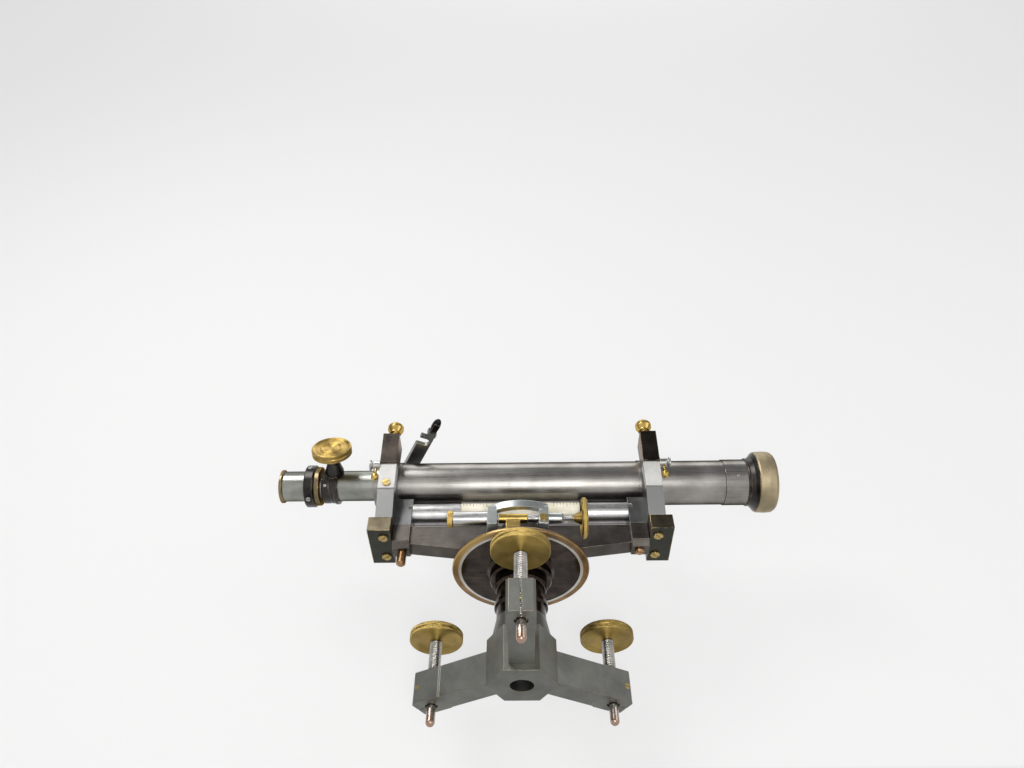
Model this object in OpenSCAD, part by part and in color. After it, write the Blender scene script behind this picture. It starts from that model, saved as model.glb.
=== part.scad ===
// Surveying level of the wye pattern, standing upright on its three levelling screws.
// Lengths are in millimetres. The origin is the mouth of the tripod hole, on the vertical axis.
// +X runs along the telescope to its object glass, +Z is up, and -Y is the side of the tangent screw.

/* [Tribrach] */
// Height of the hub's straight walls
hub_h = 32; // [28:1:36]
// Distance from the axis to the flats that carry the arms
hub_flat = 20; // [18.5:0.25:22]
// Distance from the axis to the flats between the arms
hub_corner = 20; // [18.5:0.25:23]
// Height of the cone that joins the hub to the column
flare_h = 14; // [10:1:18]
// Radius of the levelling screws' circle
foot_circle_r = 70.3; // [62:0.1:80]
// Width of each arm
arm_w = 16.4; // [14.5:0.1:19]
// Height of each arm
arm_h = 22; // [18:1:25]
// Step from the hub's underside up to the arm's underside
arm_rise = 4; // [2:0.5:6]
// Length of each arm's thicker end, inwards from the levelling screw
boss_in = 10.5; // [9:0.5:13]
// Length of each arm's thicker end, outwards from the levelling screw
boss_out = 10.5; // [10:0.1:13]
// Extra width of the thicker end
boss_extra = 1.4; // [0.8:0.1:2.5]
// Bevel on the corners of each arm's end
boss_bevel = 1.6; // [1:0.2:2.4]
// Width of the saw cut in the end of each arm
slit_w = 0.8; // [0.5:0.1:1.2]
// Radius of the screws that close the saw cuts
pinch_r = 1.4; // [1.2:0.1:1.5]
// Radius of the pinch screws' heads
pinch_head_r = 2.1; // [1.8:0.1:2.2]
// Height of the pinch screws' heads
pinch_head_h = 1.6; // [1.2:0.1:2]
// Metal between the levelling screw and the pinch screw
pinch_wall = 1; // [0.8:0.1:1.2]
// Radius of the tripod hole
tripod_r = 7.9; // [6.5:0.1:9]
// Depth of the tripod hole
tripod_depth = 14; // [12:0.5:16]

/* [Levelling screws] */
// How far the tips stand below the hub
foot_reach = 10; // [6:0.5:16]
// Radius of the levelling screws
foot_r = 4.3; // [3.8:0.1:5]
// Radius of the levelling screws' plain points
point_r = 3.1; // [2.6:0.1:3.2]
// Height of the heads' undersides
head_z = 51; // [44:0.5:58]
// Radius of the milled heads
head_r = 19; // [16:0.1:22]
// Thickness of the milled heads
head_t = 6; // [5:0.1:8]

/* [Milled edges] */
// Bevel on the edges of a milled head
edge_c = 0.5; // [0.3:0.1:0.8]
// Depth of the groove between the two beads
groove_d = 0.7; // [0.4:0.1:1]
// Half the width of the groove
groove_w = 0.7; // [0.4:0.1:0.9]
// Width of the flat lip inside a milled edge
lip_w = 1.4; // [1:0.1:2]
// Depth of the dish in the upper face of a milled head
dish_d = 0.9; // [0.5:0.1:1.1]

/* [Socket and spindle] */
// Radius of the column
column_r = 17; // [16:0.5:18.5]
// Height of the shoulder under the clamp collar
column_top = 76; // [74:0.5:80]
// How far the column's two beads stand out
bead_d = 1.5; // [1:0.1:2]
// Height of the lower bead above the hub
bead_rise = 8; // [6:0.5:11]
// Height of each bead
bead_h = 5; // [4:0.5:6]
// Radius of the neck that the clamp turns on
neck_r = 14; // [13:0.25:15]
// Radius of the spindle
spindle_r = 9; // [8:0.25:10]
// Radius of the spindle's threaded tail
tail_r = 6.4; // [5.5:0.1:7]
// Radius of the spindle's nut
nut_r = 10.4; // [9.5:0.1:11]
// Thickness of the spindle's nut
nut_t = 6; // [5:0.5:7]
// Height of the chamber that the nut turns in
chamber_h = 10; // [9:0.5:12]
// Depth of the bar that the spindle leaves whole
spindle_cap = 8; // [5:0.5:12]

/* [Clamp] */
// Radius of the clamp collar
collar_r = 22; // [20:0.5:25]
// Height of the clamp collar
collar_h = 9; // [8:0.5:11]
// Radius of the disc over its rim
disc_r = 49; // [45:0.5:51]
// Thickness of the disc
disc_t = 4.4; // [4:0.2:6]
// Width of the disc's rim
rim_w = 4.5; // [3.5:0.1:5.5]
// Width of the bright ring inside the rim
bright_w = 1.9; // [1:0.1:2.5]
// Bevel on the lower edge of the rim
rim_c = 0.6; // [0.4:0.1:0.9]
// Height of the rim's straight edge above the disc's underside
rim_edge = 1.8; // [1.2:0.1:2.6]
// Taper of the rim above its straight edge
rim_taper = 2.4; // [1:0.1:3]
// Bevels on the clamp collar
collar_c = 1; // [0.6:0.1:1.5]
// Radius of the clamp screw
clamp_r = 2.5; // [2:0.1:3]
// Radius of the clamp screw's head
clamp_head_r = 8; // [6.5:0.5:9]
// Thickness of the clamp screw's head
clamp_head_t = 6; // [4.5:0.5:7]
// Radius of the stud between the lugs
tongue_r = 3.45; // [3:0.05:3.8]
// Length of the stud between the lugs
tongue_l = 20.2; // [18:0.2:22]
// Thickness of the stud's post
tongue_t = 5.2; // [4:0.2:6]
// Width of the stud's post
tongue_w = 10; // [8:0.5:12]

/* [Bar] */
// Distance from the middle to each wye
wye_x = 100; // [92:0.5:110]
// Width of the bar
bar_w = 13; // [11:0.5:15]
// Height of the bar's top
bar_top = 121.5; // [119:0.5:125]
// Depth of the bar in the middle
bar_mid_h = 24.3; // [22:0.1:26]
// Depth of the bar at its ends
bar_end_h = 15.5; // [13:0.5:18]
// Radius of the boss that takes the spindle
bar_boss_r = 15; // [13:0.5:17]
// Length of the block at each end of the bar
end_l = 12.5; // [10:0.5:15]
// Width of the block at each end of the bar
end_w = 18; // [16.5:0.5:21]
// Depth of the block at each end of the bar
end_h = 18.5; // [16:0.5:20]
// Bevel on the lower edges of the end blocks
end_bevel = 4; // [3:0.5:5]
// Radius of the level's adjusting screws
adjust_r = 2.4; // [2:0.1:2.8]
// Radius of the adjusting screws' heads
adjust_head_r = 3.4; // [3:0.1:4]
// Distance from a block's inner face to its adjusting screw
adjust_set = 5.6; // [5:0.1:7]
// Metal that the adjusting screws leave above them
adjust_cap = 4; // [3:0.5:6]
// How far the capstan head hangs down at the left
adjust_left_l = 11; // [8:0.5:14]
// How far the slotted head stands out at the right
adjust_right_l = 2.4; // [1.6:0.1:3]

/* [Wyes] */
// Thickness of each wye
wye_t = 12.5; // [11:0.5:14]
// Step from the bar's top down to the wyes' feet
wye_sink = 1.5; // [1:0.1:3]
// Thickness of the far limb
far_t = 9; // [7.5:0.5:10.5]
// Depth of the far limb, back from the telescope's seat
far_w = 10.1; // [8:0.1:13]
// Height at which the far limb narrows, above the wye's foot
far_step = 22; // [18:1:28]
// Height of the slope at the back of the foot
far_foot = 14; // [10:1:18]
// Height of the telescope's axis
scope_z = 167; // [165.5:0.5:172]
// Height of the limbs above the telescope's axis
limb_rise = 22; // [19:0.1:24]
// Thickness of the near limb behind the catch
near_t = 4.05; // [3.5:0.05:5]
// Half the width of the foot
foot_half = 20; // [19:0.5:22]
// Depth of the foot plate below the wye
plate_h = 12; // [10:0.5:13]
// Length of the foot plate along the bar
plate_l = 16.6; // [14:0.2:19]
// Metal below the tenon in the foot plate
plate_floor = 1.5; // [1:0.1:2.5]
// Radius of the foot plates' screws
plate_screw_r = 2.2; // [1.8:0.1:2.6]
// Distance from the bar's side to the foot plates' screws
plate_set = 4.9; // [4:0.1:6]
// Depth of the foot plates' screws in the wyes
plate_grip = 7; // [5:0.5:9]
// Radius of the foot plates' screw heads
plate_head_r = 3.4; // [3:0.1:3.8]

/* [Catches] */
// Height of the catch block's lower edge above the wye's foot
catch_rise = 21.2; // [19:0.1:23]
// Height of the bright catch block
catch_h = 21; // [18:0.5:23]
// Width of the ledge that carries the catch block
catch_ledge = 5.2; // [4:0.2:7]
// How far the catch block overhangs its ledge
catch_lip = 1; // [0.5:0.1:1.5]
// Lean of the catch block over its height
catch_lean = 4; // [2:0.5:5]
// Step from the catch block out to the post
post_step = 1.4; // [0.8:0.1:2]
// Lean of the post over its height
post_lean = 4; // [2:0.5:5]
// Distance from the near limb to the catch screw
catch_set = 9; // [8:0.5:10]
// Radius of the catch screws' stems
stem_r = 3; // [2.5:0.1:3.4]
// Depth of the catch screws' stems in the posts
stem_l = 8; // [6:0.5:10]
// Radius of the catch screws' heads
knob_r = 6.2; // [5.5:0.1:7]
// Height of the catch screws' heads
knob_h = 9.2; // [8:0.1:11]
// Radius of the screws on the sides of the catches
side_screw_r = 3.7; // [3:0.1:4.2]
// Length of the side screws
side_screw_l = 8; // [7:0.5:9]
// Step from the catch screws in to the side screws
side_set = 1.5; // [0:0.1:3]
// Length of the pins that hang from the side screws
pin_l = 11; // [9:0.5:13]
// Radius of the pins
pin_r = 2.7; // [2.2:0.1:2.9]
// Radius of the pins' necks
pin_neck = 1; // [0.8:0.1:1.3]
// Distance from the wyes' sides to the pins
pin_out = 3; // [2.8:0.1:4]
// Radius of the heads of the screws in the faces
face_head_r = 3; // [2.4:0.1:3.4]
// Height of the heads of the screws in the faces
face_head_h = 1.3; // [1:0.1:1.8]
// Radius of the screws in the faces
face_screw_r = 1.5; // [1.2:0.1:1.8]
// Height of the left catch's screw above the block's lower edge
face_rise = 4.4; // [4:0.1:6]

/* [Clips] */
// Radius of the clips' pivots
pivot_r = 2.5; // [2:0.1:2.9]
// Radius of the pivots' heads
pivot_head_r = 4; // [3.5:0.1:4.8]
// Height of the pivots' heads
pivot_head_h = 1.5; // [1.2:0.1:2]
// Depth of the pivots in the far limbs
pivot_l = 10; // [8:0.5:12]
// Length of a clip beyond its notch
tab_l = 25; // [23:0.5:28]
// Width of a clip
clip_w = 10.6; // [9.5:0.1:12]
// Thickness of a clip
clip_t = 6.4; // [5:0.2:8]
// Thickness of a clip at its notch
notch_t = 3.4; // [2.6:0.1:4]
// Clearance of the notch round the catch screw's stem
notch_gap = 0.7; // [0.4:0.1:1]
// Metal beyond the notch
notch_wall = 2.5; // [2:0.1:3]
// Radius of a clip's thumb piece at its middle
thumb_r = 3.4; // [2.8:0.1:4]
// Half the width of the neck between the notch and the heel
thumb_neck = 2.2; // [1.6:0.1:2.6]
// Length of the heel between the notch and the thumb piece
heel_l = 3.5; // [2.5:0.1:5]
// How far the thumb piece stands towards the side that opens
thumb_set = 2.4; // [1:0.1:3]
// How far the left clip stands open
left_open = 25.5; // [0:0.5:120]
// How far the right clip stands open
right_open = 114; // [0:0.5:120]

/* [Level tube] */
// Height of the level tube's axis above the bar
level_rise = 16.5; // [15.5:0.1:17]
// Radius of the level tube
level_r = 9; // [8:0.1:9.2]
// Wall of the level tube
level_wall = 1; // [0.8:0.1:1.3]
// Wall of the glass in the level tube
glass_wall = 1.2; // [0.9:0.1:1.5]
// Length of the window in the level tube
window_l = 90; // [70:1:110]
// Depth of the pockets that hold the level tube
pocket = 3; // [2:0.5:5]
// Height of the level tube's blocks above the tube's axis
block_rise = 7.6; // [6:0.2:8.4]

/* [Tangent screw] */
// Distance from the axis to the tangent screw
tangent_y = 30; // [29:0.25:31]
// Height of the tangent screw's axis
tangent_z = 109.6; // [109:0.1:111]
// Distance from the middle to the centre of the space between the lugs
tangent_x = -1.7; // [-4:0.1:0]
// Radius of the spring barrel
barrel_r = 5.2; // [4.8:0.1:5.6]
// Wall of the spring barrel
barrel_wall = 1; // [0.8:0.1:1.3]
// Length of the spring barrel
barrel_l = 24.2; // [20:0.2:28]
// Length of the spring barrel's cap
cap_l = 4.3; // [3:0.1:6]
// How far the cap stands out past the barrel
cap_d = 0.7; // [0.4:0.1:1.2]
// Thickness of each lug
lug_t = 7; // [6:0.2:8]
// Clear distance between the lugs
lug_gap = 29.4; // [28:0.2:32]
// Distance from the tangent screw's axis to the lugs' front faces
lug_out = 6.4; // [6:0.1:7]
// Distance from the tangent screw's axis down to the lower edges of the lugs' faces
lug_drop = 9; // [8:0.1:10]
// Bevel along the upper edges of the lugs
lug_bevel = 3; // [2:0.1:3.4]
// Depth of the lugs' pointed undersides
lug_point = 3.6; // [2:0.1:4.5]
// Height of the strip between the lugs above the tangent screw's axis
strip_rise = 3.1; // [2.6:0.1:4]
// Height of the strip between the lugs
strip_h = 5.8; // [4:0.2:7]
// Thickness of the strip between the lugs
strip_t = 4; // [3:0.2:5]
// Radius of the outside of the curved strip
strip_r = 40; // [38:0.5:42]
// Radius of the tangent screw
tangent_r = 2.1; // [1.8:0.1:2.4]
// Radius of the tangent screw's nose
nose_r = 3; // [2.4:0.1:3.4]
// Radius of the bush that the tangent screw turns in
bush_r = 4.1; // [3.6:0.1:4.6]
// Length of the bush
bush_l = 10.6; // [9:0.2:13]
// Taper of the bush over its length
bush_taper = 0.4; // [0:0.1:0.8]
// Length of bare screw between the bush and the head
bare_l = 7.4; // [5:0.1:9]
// Length of the cone on the tangent screw's head
cone_l = 5.8; // [4:0.1:7]
// Radius of the large end of the cone
cone_r = 5; // [4:0.1:6]
// Radius of the tangent screw's head
tangent_head_r = 14.5; // [12:0.1:15.5]
// Thickness of the tangent screw's head
tangent_head_t = 4; // [3:0.1:5]
// Depth at which the lug's screw stands below the tangent screw's axis
lug_screw_drop = 4; // [3:0.1:5]

/* [Spring] */
// Turns of the spring in the barrel
spring_turns = 9; // [6:1:10]
// Radius of the spring's wire
spring_wire = 0.55; // [0.4:0.05:0.6]
// Gap between the spring and the barrel
spring_gap = 0.35; // [0.25:0.05:0.6]
// Length of the barrel that the spring leaves free
spring_free = 9; // [8:0.5:12]
// Reach of the plunger into the barrel
plunger_l = 4.6; // [3.6:0.1:5.6]

/* [Telescope] */
// Radius of the main tube
tube_r = 17.3; // [16.5:0.1:17.8]
// Wall of the tubes
tube_wall = 1.2; // [0.9:0.1:1.6]
// Step from the main tube out to its collars
collar_step = 0.6; // [0.4:0.05:1]
// Half the length of the collars
collar_half = 8; // [6.5:0.5:10]
// Length of the main tube
tube_l = 271.7; // [250:0.1:290]
// Distance from the middle to the back of the main tube
tube_back = 113; // [110:0.5:118]
// Radius of the rear tube
rear_r = 11.9; // [11:0.1:12.5]
// Wall of the rear tube
rear_wall = 1.05; // [0.9:0.05:1.3]
// Length of the rear tube in view
rear_l = 29.2; // [26:0.1:36]
// Length of the rear tube inside the main tube
rear_in = 20; // [14:0.5:30]
// Radius of the focusing collar
housing_r = 13.6; // [13:0.1:15]
// Length of the focusing collar
housing_l = 12.6; // [11:0.1:14]
// How far the bead of the focusing collar stands out
housing_bead = 0.8; // [0.5:0.1:1.2]
// Gap between the focusing collar and the draw tube's ring
draw_gap = 1.7; // [1:0.1:2.5]
// Length of the draw tube's ring
draw_ring_l = 3.8; // [2.6:0.1:5]
// Radius of the draw tube's ring
draw_ring_r = 15.2; // [14:0.1:16]
// Wall of the draw tube
draw_wall = 1.1; // [0.9:0.1:1.3]
// Radius of the cross-hair cell
cell_r = 16.5; // [15.5:0.1:18]
// Length of the cross-hair cell
cell_l = 7.6; // [6:0.1:9]
// Radius of the cross-hair screws
hair_screw_r = 1.1; // [0.9:0.1:1.3]
// Radius of the cross-hair screws' heads
hair_head_r = 1.8; // [1.5:0.1:2.2]
// Depth of the cross-hair screws in the cell
hair_screw_l = 2.5; // [2:0.1:3]
// Length of the eyepiece in view
eyepiece_l = 17.5; // [14:0.5:24]
// Wall of the eyepiece
eyepiece_wall = 1.6; // [1.2:0.1:2]
// Length of the eyepiece's sleeve in the draw tube
sleeve_l = 18; // [14:0.5:22]
// Radius of the eyepiece's flange
eye_flange_r = 13; // [12.5:0.1:15]
// Thickness of the eyepiece's flange
eye_flange_t = 2.9; // [2.4:0.1:3.6]
// Radius of the hole to look through
eye_hole_r = 4; // [3:0.1:6]

/* [Object glass] */
// Radius of the object glass's mount
object_r = 23.6; // [21:0.1:25]
// Length of the object glass's ring
object_l = 14; // [10:0.5:18]
// Width of the object glass's ring
object_w = 3; // [2.4:0.1:4]
// Length of the sleeve behind the flare
sleeve_grip = 17.3; // [14:0.1:20]
// Length of the flare
flare_l = 7.4; // [6:0.1:10]
// Step from the main tube out to the sleeve
sleeve_step = 0.6; // [0.4:0.1:1]
// Wall of the spigot that enters the main tube
spigot_wall = 1.4; // [1.2:0.1:2]
// Length of the spigot that enters the main tube
spigot_l = 8; // [6:0.5:12]
// Thickness of the object glass
object_glass_t = 6; // [5:0.2:8]
// Thickness of the eye lens
eye_glass_t = 3.4; // [3:0.1:4]

/* [Focusing] */
// Distance from the telescope's axis to the knob's outer face
focus_reach = 36; // [34:0.5:40]
// Radius of the focusing knob
focus_r = 15.2; // [12:0.2:17]
// Thickness of the focusing knob
focus_t = 6.4; // [5:0.2:8]
// Angle of the focusing knob above the horizontal
focus_angle = 16; // [0:1:40]
// Distance from the front of the focusing collar to the knob's axis
focus_set = 3.2; // [2:0.1:5]
// Radius of the pinion's spindle
pinion_r = 2; // [1.6:0.1:2.4]
// Radius of the foot of the pinion's housing
neck_foot_r = 7.2; // [6.6:0.1:7.6]
// Radius of the top of the pinion's housing
neck_top_r = 4.6; // [4:0.1:5.4]

/* [Hidden] */
$fn = 96;
// facets of the small screws
few = 48;
// overrun of a cut past the face that it opens
over = 1;
// radial clearance of what turns or slides
run = 0.05;
// end clearance of what turns
play = 0.4;
// clearance of fixed parts that slide past what turns
clear = 0.6;
// directions of the arms, front first
ARM_ANGLES = [-90, 150, 30];
SIDES = [-1, 1];
// directions of the cross-hair screws round the telescope
HAIR_ANGLES = [165, 75, -15, -105];

hub_top = hub_h + flare_h;
boss_end = foot_circle_r + boss_out;
boss_half = (arm_w + boss_extra) / 2;
point_l = foot_reach + arm_rise + over;
pinch_x = foot_circle_r + foot_r + pinch_r + pinch_wall;
collar_z = column_top + play;
disc_z = collar_z + collar_h;
disc_top = disc_z + disc_t;
neck_top = disc_top + play;
clamp_z = collar_z + collar_h / 2;
bar_under = bar_top - bar_mid_h;
chamber_r = nut_r + clear;
chamber_top = tripod_depth + chamber_h;
ring_r = tube_r + collar_step;
seat_r = ring_r + run;
wye_base = bar_top - wye_sink;
limb_top = scope_z + limb_rise;
near_in = seat_r + near_t;
far_out = seat_r + far_w;
wye_in = wye_x - wye_t / 2;
wye_out = wye_x + wye_t / 2;
end_in = wye_in - end_l;
adjust_x = end_in + adjust_set;
plate_y = bar_w / 2 + plate_set;
tenon_h = plate_h - plate_floor;
catch_z = wye_base + catch_rise;
post_z = catch_z + catch_h;
catch_foot = near_in + catch_ledge;
catch_face = catch_foot + catch_lip;
post_foot = catch_foot + catch_lean + post_step;
catch_y = near_in + catch_set;
clip_x = wye_in + far_t / 2;
pivot_y = seat_r + far_w / 2;
clip_z = limb_top + play;
notch_reach = pivot_y + catch_y;
notch_r = stem_r + notch_gap;
notch_end = notch_reach + notch_r + notch_wall;
clip_l = notch_reach + tab_l;
knob_z = clip_z + notch_t + play;
side_y = catch_y - side_set;
pin_x = wye_out + pin_out;
face_y = catch_face + (catch_lean - catch_lip) * face_rise / catch_h;
level_z = bar_top + level_rise;
vial_r = level_r - level_wall;
lug_left = tangent_x - lug_gap / 2 - lug_t / 2;
lug_right = tangent_x + lug_gap / 2 + lug_t / 2;
lug_left_out = lug_left - lug_t / 2;
lug_left_in = lug_left + lug_t / 2;
lug_right_in = lug_right - lug_t / 2;
lug_right_out = lug_right + lug_t / 2;
lug_bore = nose_r;
bush_end = lug_right_out + bush_l;
head_x = bush_end + bare_l;
tongue_x = lug_left_in + 2 * clear;
nose_x = tongue_x + tongue_l + clear;
barrel_x = lug_left_out - barrel_l;
bore_r = tube_r - tube_wall;
rear_bore = rear_r - rear_wall;
draw_r = rear_bore - run;
draw_bore = draw_r - draw_wall;
eyepiece_r = rear_r - run;
sleeve_r = draw_bore - run;
tube_front = tube_l - tube_back;
housing_x = -tube_back - rear_l;
housing_end = housing_x - housing_l;
draw_x = housing_end - draw_gap;
cell_x = draw_x - draw_ring_l;
eye_x = cell_x - cell_l;
eye_end = eye_x - eyepiece_l;
flare_x = tube_front + sleeve_grip;
ring_x = flare_x + flare_l;
glass_r = object_r - object_w;
focus_x = housing_x - focus_set;

// A turned shape along +X from x, given as radius and distance pairs
module turned_x(x, profile) {
  translate([x, 0, 0]) rotate([0, 90, 0]) rotate_extrude() polygon(profile);
}

// A round bar or, with a bore, a tube along +X
module round_x(x0, x1, r, bore = 0) {
  translate([x0, 0, 0]) rotate([0, 90, 0]) difference() {
    cylinder(h = x1 - x0, r = r);
    if (bore > 0) translate([0, 0, -over]) cylinder(h = x1 - x0 + 2 * over, r = bore);
  }
}

// Moves its children to the telescope's axis
module on_scope() {
  translate([0, 0, scope_z]) children();
}

// Moves its children to the tangent screw's axis
module on_tangent() {
  translate([0, -tangent_y, tangent_z]) children();
}

// Profile of a milled head: flat below, two beads round its rim, and a ring of radius hub on its dished face
function milled(r, t, hub) = [
  [0, 0], [r - edge_c, 0], [r, edge_c],
  [r, t / 2 - groove_w], [r - groove_d, t / 2], [r, t / 2 + groove_w], [r, t - edge_c], [r - edge_c, t],
  [r - lip_w, t], [r - 2 * lip_w, t - dish_d], [hub + lip_w, t - dish_d], [hub + lip_w / 2, t - dish_d / 4],
  [hub, t - dish_d / 4], [hub - lip_w / 2, t - dish_d], [0, t - dish_d]
];

// A slotted cheese head with its shank, standing on z = 0 and pointing down
module slotted_screw(head, head_h, shank, shank_l) {
  slot = 0.28 * head;
  difference() {
    union() {
      cylinder(h = head_h, r = head, $fn = few);
      translate([0, 0, -shank_l]) cylinder(h = shank_l + head_h / 2, r = shank, $fn = few);
    }
    translate([-head - over, -slot / 2, head_h / 2]) cube([2 * (head + over), slot, head_h]);
  }
}

// Plan of the hub: six flats, of which every other one carries an arm
module hub_plan() {
  wide = 4 * hub_flat;
  intersection() {
    intersection_for (a = ARM_ANGLES) rotate(a)
      translate([-wide, -wide]) square([wide + hub_flat, 2 * wide]);
    intersection_for (a = ARM_ANGLES) rotate(a + 180)
      translate([-wide, -wide]) square([wide + hub_corner, 2 * wide]);
  }
}

module tribrach() {
  color([0.24, 0.25, 0.24]) difference() {
    union() {
      linear_extrude(hub_h) hub_plan();
      translate([0, 0, hub_h]) cylinder(h = flare_h, r1 = min(hub_flat, hub_corner), r2 = column_r);
    }
    translate([0, 0, -over]) cylinder(h = tripod_depth + 2 * over, r = tripod_r);
    translate([0, 0, tripod_depth]) cylinder(h = hub_top, r = neck_r);
  }
}

// Plan of one arm, pointing along +X from the hub's flat
module arm_plan() {
  half = arm_w / 2;
  start = foot_circle_r - boss_in;
  polygon([
    [hub_flat, -half], [start - over, -half], [start, -boss_half], [boss_end - boss_bevel, -boss_half],
    [boss_end, boss_bevel - boss_half], [boss_end, boss_half - boss_bevel],
    [boss_end - boss_bevel, boss_half], [start, boss_half], [start - over, half], [hub_flat, half]
  ]);
}

// The arms, cast in one with the hub. Each is bored for its screw, sawn through its end,
// and drilled across the cut
module tribrach_arms() {
  color([0.25, 0.26, 0.25]) for (a = ARM_ANGLES) rotate(a) translate([0, 0, arm_rise]) difference() {
    linear_extrude(arm_h) arm_plan();
    translate([foot_circle_r, 0, -over]) cylinder(h = arm_h + 2 * over, r = foot_r + run);
    translate([foot_circle_r, -slit_w / 2, -over]) cube([boss_out + over, slit_w, arm_h + 2 * over]);
    translate([pinch_x, arm_w, arm_h / 2]) rotate([90, 0, 0]) cylinder(h = 2 * arm_w, r = pinch_r, $fn = few);
    translate([pinch_x, pinch_head_h - boss_half, arm_h / 2]) rotate([90, 0, 0])
      cylinder(h = arm_w, r = pinch_head_r, $fn = few);
  }
}

// The screws that close the saw cuts, with their heads let in flush
module arm_pinch_screws() {
  color([0.72, 0.58, 0.3]) for (a = ARM_ANGLES) rotate(a)
    translate([pinch_x, pinch_head_h - boss_half, arm_rise + arm_h / 2]) rotate([90, 0, 0])
      slotted_screw(pinch_head_r, pinch_head_h, pinch_r, 2 * boss_half - pinch_head_h);
}

module levelling_screw(a) {
  color([0.62, 0.6, 0.58]) rotate(a) translate([foot_circle_r, 0, -foot_reach]) {
    translate([0, 0, point_r]) sphere(r = point_r);
    translate([0, 0, point_r]) cylinder(h = point_l - point_r, r = point_r);
    translate([0, 0, point_l]) cylinder(h = head_z + foot_reach - point_l, r = foot_r);
  }
}

module levelling_head(a) {
  color([0.78, 0.58, 0.2]) rotate(a) translate([foot_circle_r, 0, head_z])
    rotate_extrude() polygon(milled(head_r, head_t, foot_r + lip_w));
}

// The column with its two beads, bored for the spindle and opened below for the spindle's nut
module socket() {
  bead = column_r + bead_d;
  low = hub_top + bead_rise;
  color([0.2, 0.19, 0.18]) difference() {
    rotate_extrude() polygon([
      [0, tripod_depth], [neck_r, tripod_depth], [neck_r, hub_top], [column_r, hub_top],
      [column_r, low], [bead, low + over], [bead, low + bead_h - over], [column_r, low + bead_h],
      [column_r, column_top - bead_h - over], [bead, column_top - bead_h], [bead, column_top],
      [neck_r, column_top], [neck_r, neck_top], [0, neck_top]
    ]);
    translate([0, 0, tripod_depth]) cylinder(h = neck_top, r = spindle_r + run);
    translate([0, 0, tripod_depth - over]) cylinder(h = chamber_h + over, r = chamber_r);
  }
}

module spindle() {
  flange = neck_r - over;
  top = bar_top - spindle_cap;
  color([0.66, 0.64, 0.6]) rotate_extrude() polygon([
    [0, tripod_depth + over], [tail_r, tripod_depth + over], [tail_r, chamber_top],
    [spindle_r, chamber_top + over], [spindle_r, neck_top + play], [flange, neck_top + play],
    [flange, bar_under],
    [spindle_r, bar_under], [spindle_r, top], [0, top]
  ]);
}

module spindle_nut() {
  color([0.75, 0.56, 0.24]) translate([0, 0, chamber_top - nut_t - over]) difference() {
    cylinder(h = nut_t, r = nut_r);
    translate([0, 0, -over]) cylinder(h = nut_t + 2 * over, r = tail_r);
  }
}

module clamp_disc() {
  inner = disc_r - rim_w - bright_w;
  bore = neck_r + run;
  color([0.16, 0.14, 0.13]) difference() {
    rotate_extrude() polygon([
      [bore, collar_z], [collar_r - collar_c, collar_z], [collar_r, collar_z + collar_c],
      [collar_r, disc_z - 2 * collar_c], [collar_r + 2 * collar_c, disc_z], [inner, disc_z],
      [inner, disc_top], [bore, disc_top]
    ]);
    translate([0, 0, clamp_z]) rotate([-90, 0, 0]) cylinder(h = 2 * collar_r, r = clamp_r + run, $fn = few);
  }
}

module disc_bright_ring() {
  inner = disc_r - rim_w - bright_w;
  color([0.75, 0.74, 0.7]) translate([0, 0, disc_z]) rotate_extrude()
    translate([inner, 0]) square([bright_w, disc_t]);
}

// The rim, which narrows above its straight edge
module disc_rim() {
  inner = disc_r - rim_w;
  color([0.62, 0.42, 0.22]) translate([0, 0, disc_z]) rotate_extrude() polygon([
    [inner, 0], [disc_r - rim_c, 0], [disc_r, rim_c], [disc_r, rim_edge],
    [disc_r - rim_taper, disc_t], [inner, disc_t]
  ]);
}

// The stud on the clamp that the tangent screw and its spring hold between them
module clamp_tongue() {
  color([0.78, 0.6, 0.28]) union() {
    on_tangent() round_x(tongue_x, tongue_x + tongue_l, tongue_r);
    translate([tongue_x + tongue_l / 2 - tongue_w / 2, -tangent_y - tongue_t / 2, disc_top])
      cube([tongue_w, tongue_t, tangent_z - disc_top]);
  }
}

module clamp_screw() {
  start = neck_r + over;
  head = disc_r + 2 * over;
  color([0.78, 0.6, 0.28]) translate([0, 0, clamp_z]) rotate([-90, 0, 0]) {
    translate([0, 0, start]) cylinder(h = head + over - start, r = clamp_r, $fn = few);
    translate([0, 0, head]) rotate_extrude() polygon(milled(clamp_head_r, clamp_head_t, clamp_r + over));
  }
}

// The bar: flat on top, deepest in the middle, with a block and a tenon at each end
module bar() {
  low = bar_top - bar_end_h;
  color([0.22, 0.2, 0.19]) difference() {
    union() {
      rotate([90, 0, 0]) linear_extrude(bar_w, center = true) polygon([
        [-end_in - over, bar_top], [-end_in - over, low], [-bar_boss_r, bar_under],
        [bar_boss_r, bar_under], [end_in + over, low], [end_in + over, bar_top]
      ]);
      translate([0, 0, bar_under]) cylinder(h = bar_mid_h, r = bar_boss_r);
      for (s = SIDES) scale([s, 1, 1]) {
        translate([end_in, 0, bar_top]) end_block();
        translate([wye_in - over, -bar_w / 2, wye_base - tenon_h]) cube([wye_t + over, bar_w, tenon_h]);
      }
    }
    translate([0, 0, bar_under - over]) cylinder(h = bar_mid_h - spindle_cap + over, r = spindle_r);
    for (s = SIDES) translate([s * adjust_x, 0, bar_top - end_h - over])
      cylinder(h = end_h + over - adjust_cap, r = adjust_r, $fn = few);
  }
}

// The block that ends the bar, with its lower edges bevelled
module end_block() {
  half = end_w / 2;
  rotate([90, 0, 90]) linear_extrude(end_l) polygon([
    [-half, 0], [-half, end_bevel - end_h], [end_bevel - half, -end_h],
    [half - end_bevel, -end_h], [half, end_bevel - end_h], [half, 0]
  ]);
}

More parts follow.
